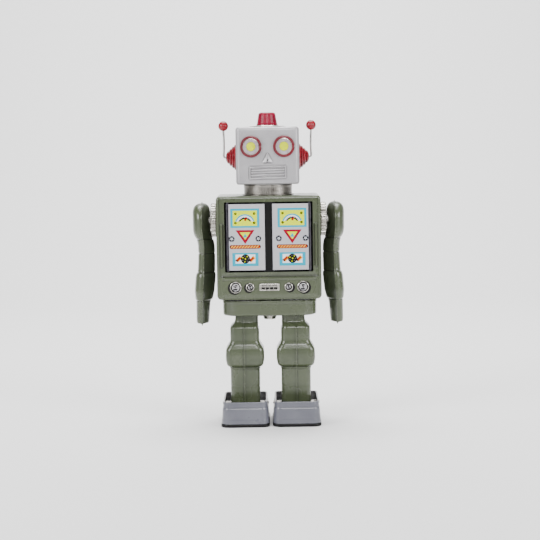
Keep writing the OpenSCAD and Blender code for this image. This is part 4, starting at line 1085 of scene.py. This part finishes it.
def makeFeet():
    look = footLook
    low, high = span("left_foot_shell")
    w, d, bottom, top = high[0] - low[0], high[1] - low[1], low[2], high[2]
    x, y, roll = (low[0] + high[0]) / 2, (low[1] + high[1]) / 2, look["rollRadius"]
    z = np.concatenate([[bottom, bottom + 0.2], np.linspace(bottom + 0.6, top - roll, 44)])
    inset = look["taper"] * (z - bottom) / (top - bottom)
    # a swage below the rim and a flare above the sole
    inset -= 0.35 * ramp(z, top - 4.2, top - 5.4) - 0.35
    inset -= 0.45 * (1 - ramp(z, bottom + 1.6, bottom + 3.0))
    inset = np.maximum(inset, 0.02)
    outer = list(zip(inset, z))
    last = inset[-1]
    profile = outer + arc(last + roll, top - roll, roll, 150, 30, 4)
    profile += [(i + look["wall"], h) for i, h in outer[::-2] if h < top - 1.2]
    soleLow, soleHigh = span("left_sole")
    sw, sd = soleHigh[0] - soleLow[0], soleHigh[1] - soleLow[1]
    rim = [(3.0, 1.6), (1.4, 1.6), (1.1, 1.3), (1.1, 0.2), (0.9, 0.0), (0.5, 0.0), (0.15, 0.35), (0.0, 0.9), (0.0, 1.5),
           (0.15, 2.1), (0.5, 2.4), (1.0, 2.5), (3.0, 2.5)]
    for side, sign in sides.items():
        rings = wrap(profile, w, d, look["corner"], sign * x, y, sideX=20, sideY=28, corner=12)
        shoe = makePiece(side + "Shoe", *looped(rings), side + "_foot", grey, [side + "_foot_shell"])
        # the faces that look towards the middle take the lighter silver finish: bare tin inside, and painted light that
        # lifts the shade inside the shoe
        normal, place = facing(shoe.data)
        finishFaces(shoe, np.sum(normal[:, :2] * (place[:, :2] - [sign * x, y]), axis=1) < -1, silver)
        rings = wrap(rim, sw, sd, look["soleCorner"], sign * x, y, sideX=20, sideY=28, corner=12)
        points, faces = capped(rings)
        base = makePiece(side + "SoleTray", points, faces, side + "_foot", black, [side + "_sole"])
        cuts = []
        for end in ("front", "rear"):
            a, b = span(side + "_" + end + "_roller")
            cuts.append((a - [1, 1, 1], [b[0] + 1, b[1] + 1, 4]))
        cutAway(base, cuts)
        for end in ("front", "rear"):
            a, b = span(side + "_" + end + "_roller")
            r, wide = (b[2] - a[2]) / 2, b[0] - a[0]
            # moulded roller: rounded edges, five shallow grooves round it
            t = np.linspace(0, 1, 61)
            tread = r - 0.25 * (np.abs((t * 6) % 1 - 0.5) > 0.42) * (t > 0.1) * (t < 0.9)
            tread -= 0.5 * np.maximum(0, 1 - t / 0.05) + 0.5 * np.maximum(0, 1 - (1 - t) / 0.05)
            wheel = [(1.06, 0)] + list(zip(tread, t * wide)) + [(1.06, wide)]
            makePiece(side + end.title() + "Wheel", *turned(wheel, "x", (a[0], (a[1] + b[1]) / 2, (a[2] + b[2]) / 2), 48,
                                                            closed=True), side + "_" + end + "_roller", rubber,
                      [side + "_" + end + "_roller"])


makeFeet()
print("feet made")


# outer and inner thickness and half depth at each height; the elbow's band is drawn in
armLook = {"lean": 1.3, "leanZ": (73, 92, 110, 132, 144), "leanBy": (-0.9, -0.4, 0.6, 1.0, 0.0), "wall": 0.6, "beadOut": 0.9, "soft": 2.6,
           "heights": (73.4, 76.0, 90.2, 92.0, 98.0, 110.0, 113.5, 126.0, 136.0, 140.5, 147.0, 158.0, 164.0),
           "outer": (4.2, 4.6, 5.0, 5.6, 6.6, 6.4, 4.9, 4.6, 5.0, 6.9, 7.1, 7.1, 6.6),
           "inner": (4.6, 4.9, 5.6, 7.2, 8.2, 8.6, 8.0, 8.0, 7.4, 6.0, 6.0, 6.0, 5.6),
           "depth": (6.0, 6.8, 8.8, 9.6, 10.4, 10.2, 9.0, 8.9, 10.2, 12.6, 12.9, 12.9, 12.9),
           "creases": (91.2, 112.4, 126.6, 137.2)}


def armHalfDepth(z, shoulderZ, r):
    # the arm's own depth below the pivot, and the round shoulder above it
    look = armLook
    above = np.sqrt(np.maximum(r * r - np.maximum(z - shoulderZ, 0) ** 2, 0))
    return np.minimum(blurred(z, look["heights"], look["depth"], look["soft"]), above)


def makeArms():
    look = armLook
    low, high = span("left_arm_outer")
    seam, out = low[0], look["beadOut"]
    bottom, top = low[2] + out, high[2] - out
    shoulderZ = (span("shoulder_discs")[0][2] + span("shoulder_discs")[1][2]) / 2
    r = top - shoulderZ
    crown = shoulderZ + r * np.sin(np.linspace(0, np.pi / 2, 28))
    z = np.unique(np.concatenate([np.linspace(bottom, shoulderZ, 110), crown,
                                  np.linspace(88, 94, 20), np.linspace(110, 116, 16), np.linspace(124, 142, 40)]))
    z = z[z < top - 0.004]
    deep = armHalfDepth(z, shoulderZ, r)
    crease = sum(bump(np.abs(z - c) - 0.1, 0.8) for c in look["creases"])
    s = np.sin(np.linspace(-np.pi / 2, np.pi / 2, 45))
    # x leaves the seam as thickness (1 - |s|^2.7)^(1/2.3): a flat top with round shoulders, closed at tip and crown
    dome = (1 - np.abs(s) ** 2.7) ** (1 / 2.3)
    close = np.sqrt(np.clip((z - bottom) / 1.1 * (2 - np.clip((z - bottom) / 1.1, 0, 1)), 0, 1))
    # below the shoulder the seam leans towards the torso, and away from it again at the hand
    seamX = seam - look["lean"] * np.interp(z, look["leanZ"], look["leanBy"])
    crown = np.sqrt(np.clip(1 - (np.maximum(z - shoulderZ, 0) / r) ** 6, 0, 1))
    for side, sign in sides.items():
        for part, way in (("outer", 1), ("inner", -1)):
            thick = (blurred(z, look["heights"], look[part], look["soft"]) - 0.45 * crease) * close * crown
            # the inner half is a little shallower and falls away faster, so the seam stands over it
            curve = dome if way > 0 else (1 - np.abs(s) ** 1.35) ** (1 / 1.35)
            x = seamX[:, None] + way * np.outer(thick, curve)
            rings = np.stack([sign * x, np.outer(deep - 0.35 * crease - (0 if way > 0 else 0.7 * close), s),
                              z[:, None] + 0 * x], -1)
            rows, cols = rings.shape[:2]
            points, faces = rings.reshape(-1, 3), gridFaces(rows, cols, joinCols=False).tolist()
            faces.append(list(range(cols)))
            # the inner half takes the darker green, painted shade for the torso's shadow on it
            makePiece(side + "Arm" + part.title(), points, faces, side + "_arm", green if way > 0 else shade, [side + "_arm_" + part],
                            core=(sign * seam, 0, shoulderZ - 20), wall=look["wall"])
            if part == "inner":
                continue
            # the crimped flange where the halves meet, rolled at its edge
            zEdge = z[::2]
            outline = np.concatenate([np.column_stack([armHalfDepth(zEdge, shoulderZ, r), zEdge]), [[0, top]],
                                      np.column_stack([-armHalfDepth(zEdge, shoulderZ, r), zEdge])[::-1]])
            strip = [(-0.7, -0.3), (out - 0.3, -0.35)] + [(out - 0.35 + 0.35 * cos(a), 0.35 * sin(a))
                                                           for a in np.radians([-60, -30, 0, 30, 60])]
            strip += [(out - 0.3, 0.35), (-0.7, 0.3)]
            rings = wrapOutline(outline, strip)
            lean = look["lean"] * np.interp(rings[..., 1], look["leanZ"], look["leanBy"])
            rings = np.stack([sign * (seam - lean + rings[..., 2]), rings[..., 0], rings[..., 1]], -1)
            makePiece(side + "ArmSeam", *looped(rings), side + "_arm", green)


makeArms()
print("arms made")


keyLook = {"thick": 1.7, "waist": 1.5}


def makeKey():
    low, high = span("winding_key")
    z, y0, y1 = (low[2] + high[2]) / 2, low[1], high[1]
    mid, reach = (low[0] + high[0]) / 2, (high[0] - low[0]) / 2
    r = 5.2
    cy = y1 - r
    # two round wings joined by a bar, as one outline: circles of radius r, then the bar's upper and lower edges
    join = keyLook["waist"]
    right = [(reach - r + r * cos(a), cy + r * sin(a)) for a in np.radians(np.linspace(-150, 150, 41))]
    half = reach - 2 * r + 0.6
    bar = [(x, cy + 2.3 + join * (abs(x) / (reach - r)) ** 3 * 0.2) for x in np.linspace(half, -half, 7)]
    left = [(-x, 2 * cy - y) for x, y in right]
    lower = [(-x, 2 * cy - y) for x, y in bar]
    outline = np.array(right + bar + left + lower)
    t = keyLook["thick"] / 2
    edge = [(-1.2, -t + 0.02), (-0.55, -t), (-0.2, -t + 0.1), (0.0, -t + 0.45)]
    edge += [(out, -depth) for out, depth in reversed(edge)]
    rings = wrapOutline(outline, edge)
    rings = np.stack([mid + rings[..., 0], rings[..., 1], z + rings[..., 2]], -1)
    shapes = [capped(rings)]
    stem = [(0, y0), (2.6, y0), (3.0, y0 + 0.4), (3.0, cy - 1.4), (2.5, cy - 0.4), (1.6, cy + 0.6), (0, cy + 0.9)]
    shapes.append(turned(stem, "y", (mid, 0, z), 48))
    makePiece("keyWings", *together(shapes), "winding", plated, ["winding_key"])


def makeScrews():
    low, high = span("back_screws")
    r, head = 2.0, torsoHigh[1]
    shapes = []
    for x in (low[0] + r, high[0] - r):
        for z in (low[2] + r, high[2] - r):
            dome = [(0, head - 4), (0.4, head - 3.8), (0.9, head - 3), (0.9, head - 0.5), (r, head - 0.4), (r, head - 0.1)]
            dome += [(r * cos(a), head - 0.1 + 1.05 * sin(a)) for a in np.radians([15, 30, 45, 60, 75])]
            points, faces = turned(dome + [(0.25, high[1])] + [(0, high[1])], "y", (x, 0, z), 48)
            # the driver slot is pressed into the dome
            slot = bump(np.abs(points[:, 2] - z) - 0.22, 0.12) * (points[:, 1] > head + 0.2)
            slot = slot * bump(np.abs(points[:, 0] - x) - 1.7, 0.2)
            points[:, 1] -= 0.45 * slot
            shapes.append((points, faces))
    makePiece("backScrews", *together(shapes), "torso", steel, ["back_screws"])


makeKey()
makeScrews()
print("key and screws made")


kept = {green: ["torso_base"], black: ["chest_recess"],
        steel: ["hip_axle", "swivel_post", "left_hip_bracket", "right_hip_bracket", "left_foot_pins", "right_foot_pins",
                "front_motor_plate", "rear_motor_plate", "motor_pillars", "stop_lever"],
        brass: ["second_arbor", "governor", "drive_shaft", "great_wheel"], springy: ["mainspring"],
        plated: ["gun_carriage"]}
for material, names in kept.items():
    for name in names:
        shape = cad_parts[name].data
        shape.materials.clear()
        shape.materials.append(material)


stageLook = {"floor": "#e2e2e2", "sky": "#f2f2f2", "skyLight": 0.3, "lens": 102.7, "roll": 0.85, "away": 1.15, "eye": 0.215,
             "aim": 0.113, "aside": 0.0006}


def aimed(place, target):
    turn = (Vector(target) - Vector(place)).to_track_quat("-Z", "Y")
    return Matrix.Translation(place) @ turn.to_matrix().to_4x4()


def onStage(name, data, turn):
    item = bpy.data.objects.new(name, data)
    item.matrix_world = turn
    bpy.context.scene.collection.objects.link(item)
    return item


def makeStage():
    look = stageLook
    # a floor that curves up into a wall: y = edge + r sin(a), z = r (1 - cos(a))
    a = np.linspace(0, np.pi / 2, 24)
    y = np.concatenate([[-3.0, -0.5, 0.5], 0.8 + 0.6 * np.sin(a), [1.4]])
    z = np.concatenate([[0, 0, 0], 0.6 * (1 - np.cos(a)), [3.0]])
    x = np.linspace(-3, 3, 9)
    points = np.stack([x[None, :] + 0 * y[:, None], y[:, None] + 0 * x[None, :], z[:, None] + 0 * x[None, :]], -1)
    mesh = bpy.data.meshes.new("floor")
    mesh.from_pydata(points.reshape(-1, 3).tolist(), [], gridFaces(len(y), len(x), joinCols=False).tolist())
    mesh.shade_smooth()
    material = newMaterial("studioPaper")
    principled(Base_Color=linear(look["floor"]), Roughness=0.9)
    mesh.materials.append(material)
    onStage("floor", mesh, Matrix.Identity(4))

    # soft boxes at both sides, a large one above, and one that lifts the paper behind: place, target, size, watts
    lights = {"leftBox": ((-0.85, -0.6, 0.5), (0, 0, 0.11), 0.5, 12.0),
              "rightBox": ((0.85, -0.6, 0.45), (0, 0, 0.11), 0.5, 10.0),
              "frontBox": ((0.1, -1.35, 0.75), (0, 0, 0.11), 0.4, 8.5),
              "topBox": ((0.0, 0.0, 1.3), (0, 0.1, 0), 1.0, 16.0),
              "paperLight": ((0.0, 0.45, 1.3), (0, 1.3, 0.35), 0.9, 36.0)}
    for name, (place, target, wide, watts) in lights.items():
        lamp = bpy.data.lights.new(name, "AREA")
        lamp.shape, lamp.size, lamp.energy = "SQUARE", wide, watts
        onStage(name, lamp, aimed(place, target))
    world = bpy.data.worlds.new("sky")
    world.use_nodes = True
    world.node_tree.nodes["Background"].inputs["Color"].default_value = linear(look["sky"])
    world.node_tree.nodes["Background"].inputs["Strength"].default_value = look["skyLight"]
    bpy.context.scene.world = world

    lens = bpy.data.cameras.new("camera")
    lens.lens, lens.sensor_width = look["lens"], 36
    place = (look["aside"], -look["away"], look["eye"])
    turn = aimed(place, (look["aside"], 0, look["aim"])) @ Matrix.Rotation(radians(-look["roll"]), 4, "Z")
    bpy.context.scene.camera = onStage("camera", lens, turn)


makeStage()
print("stage made")
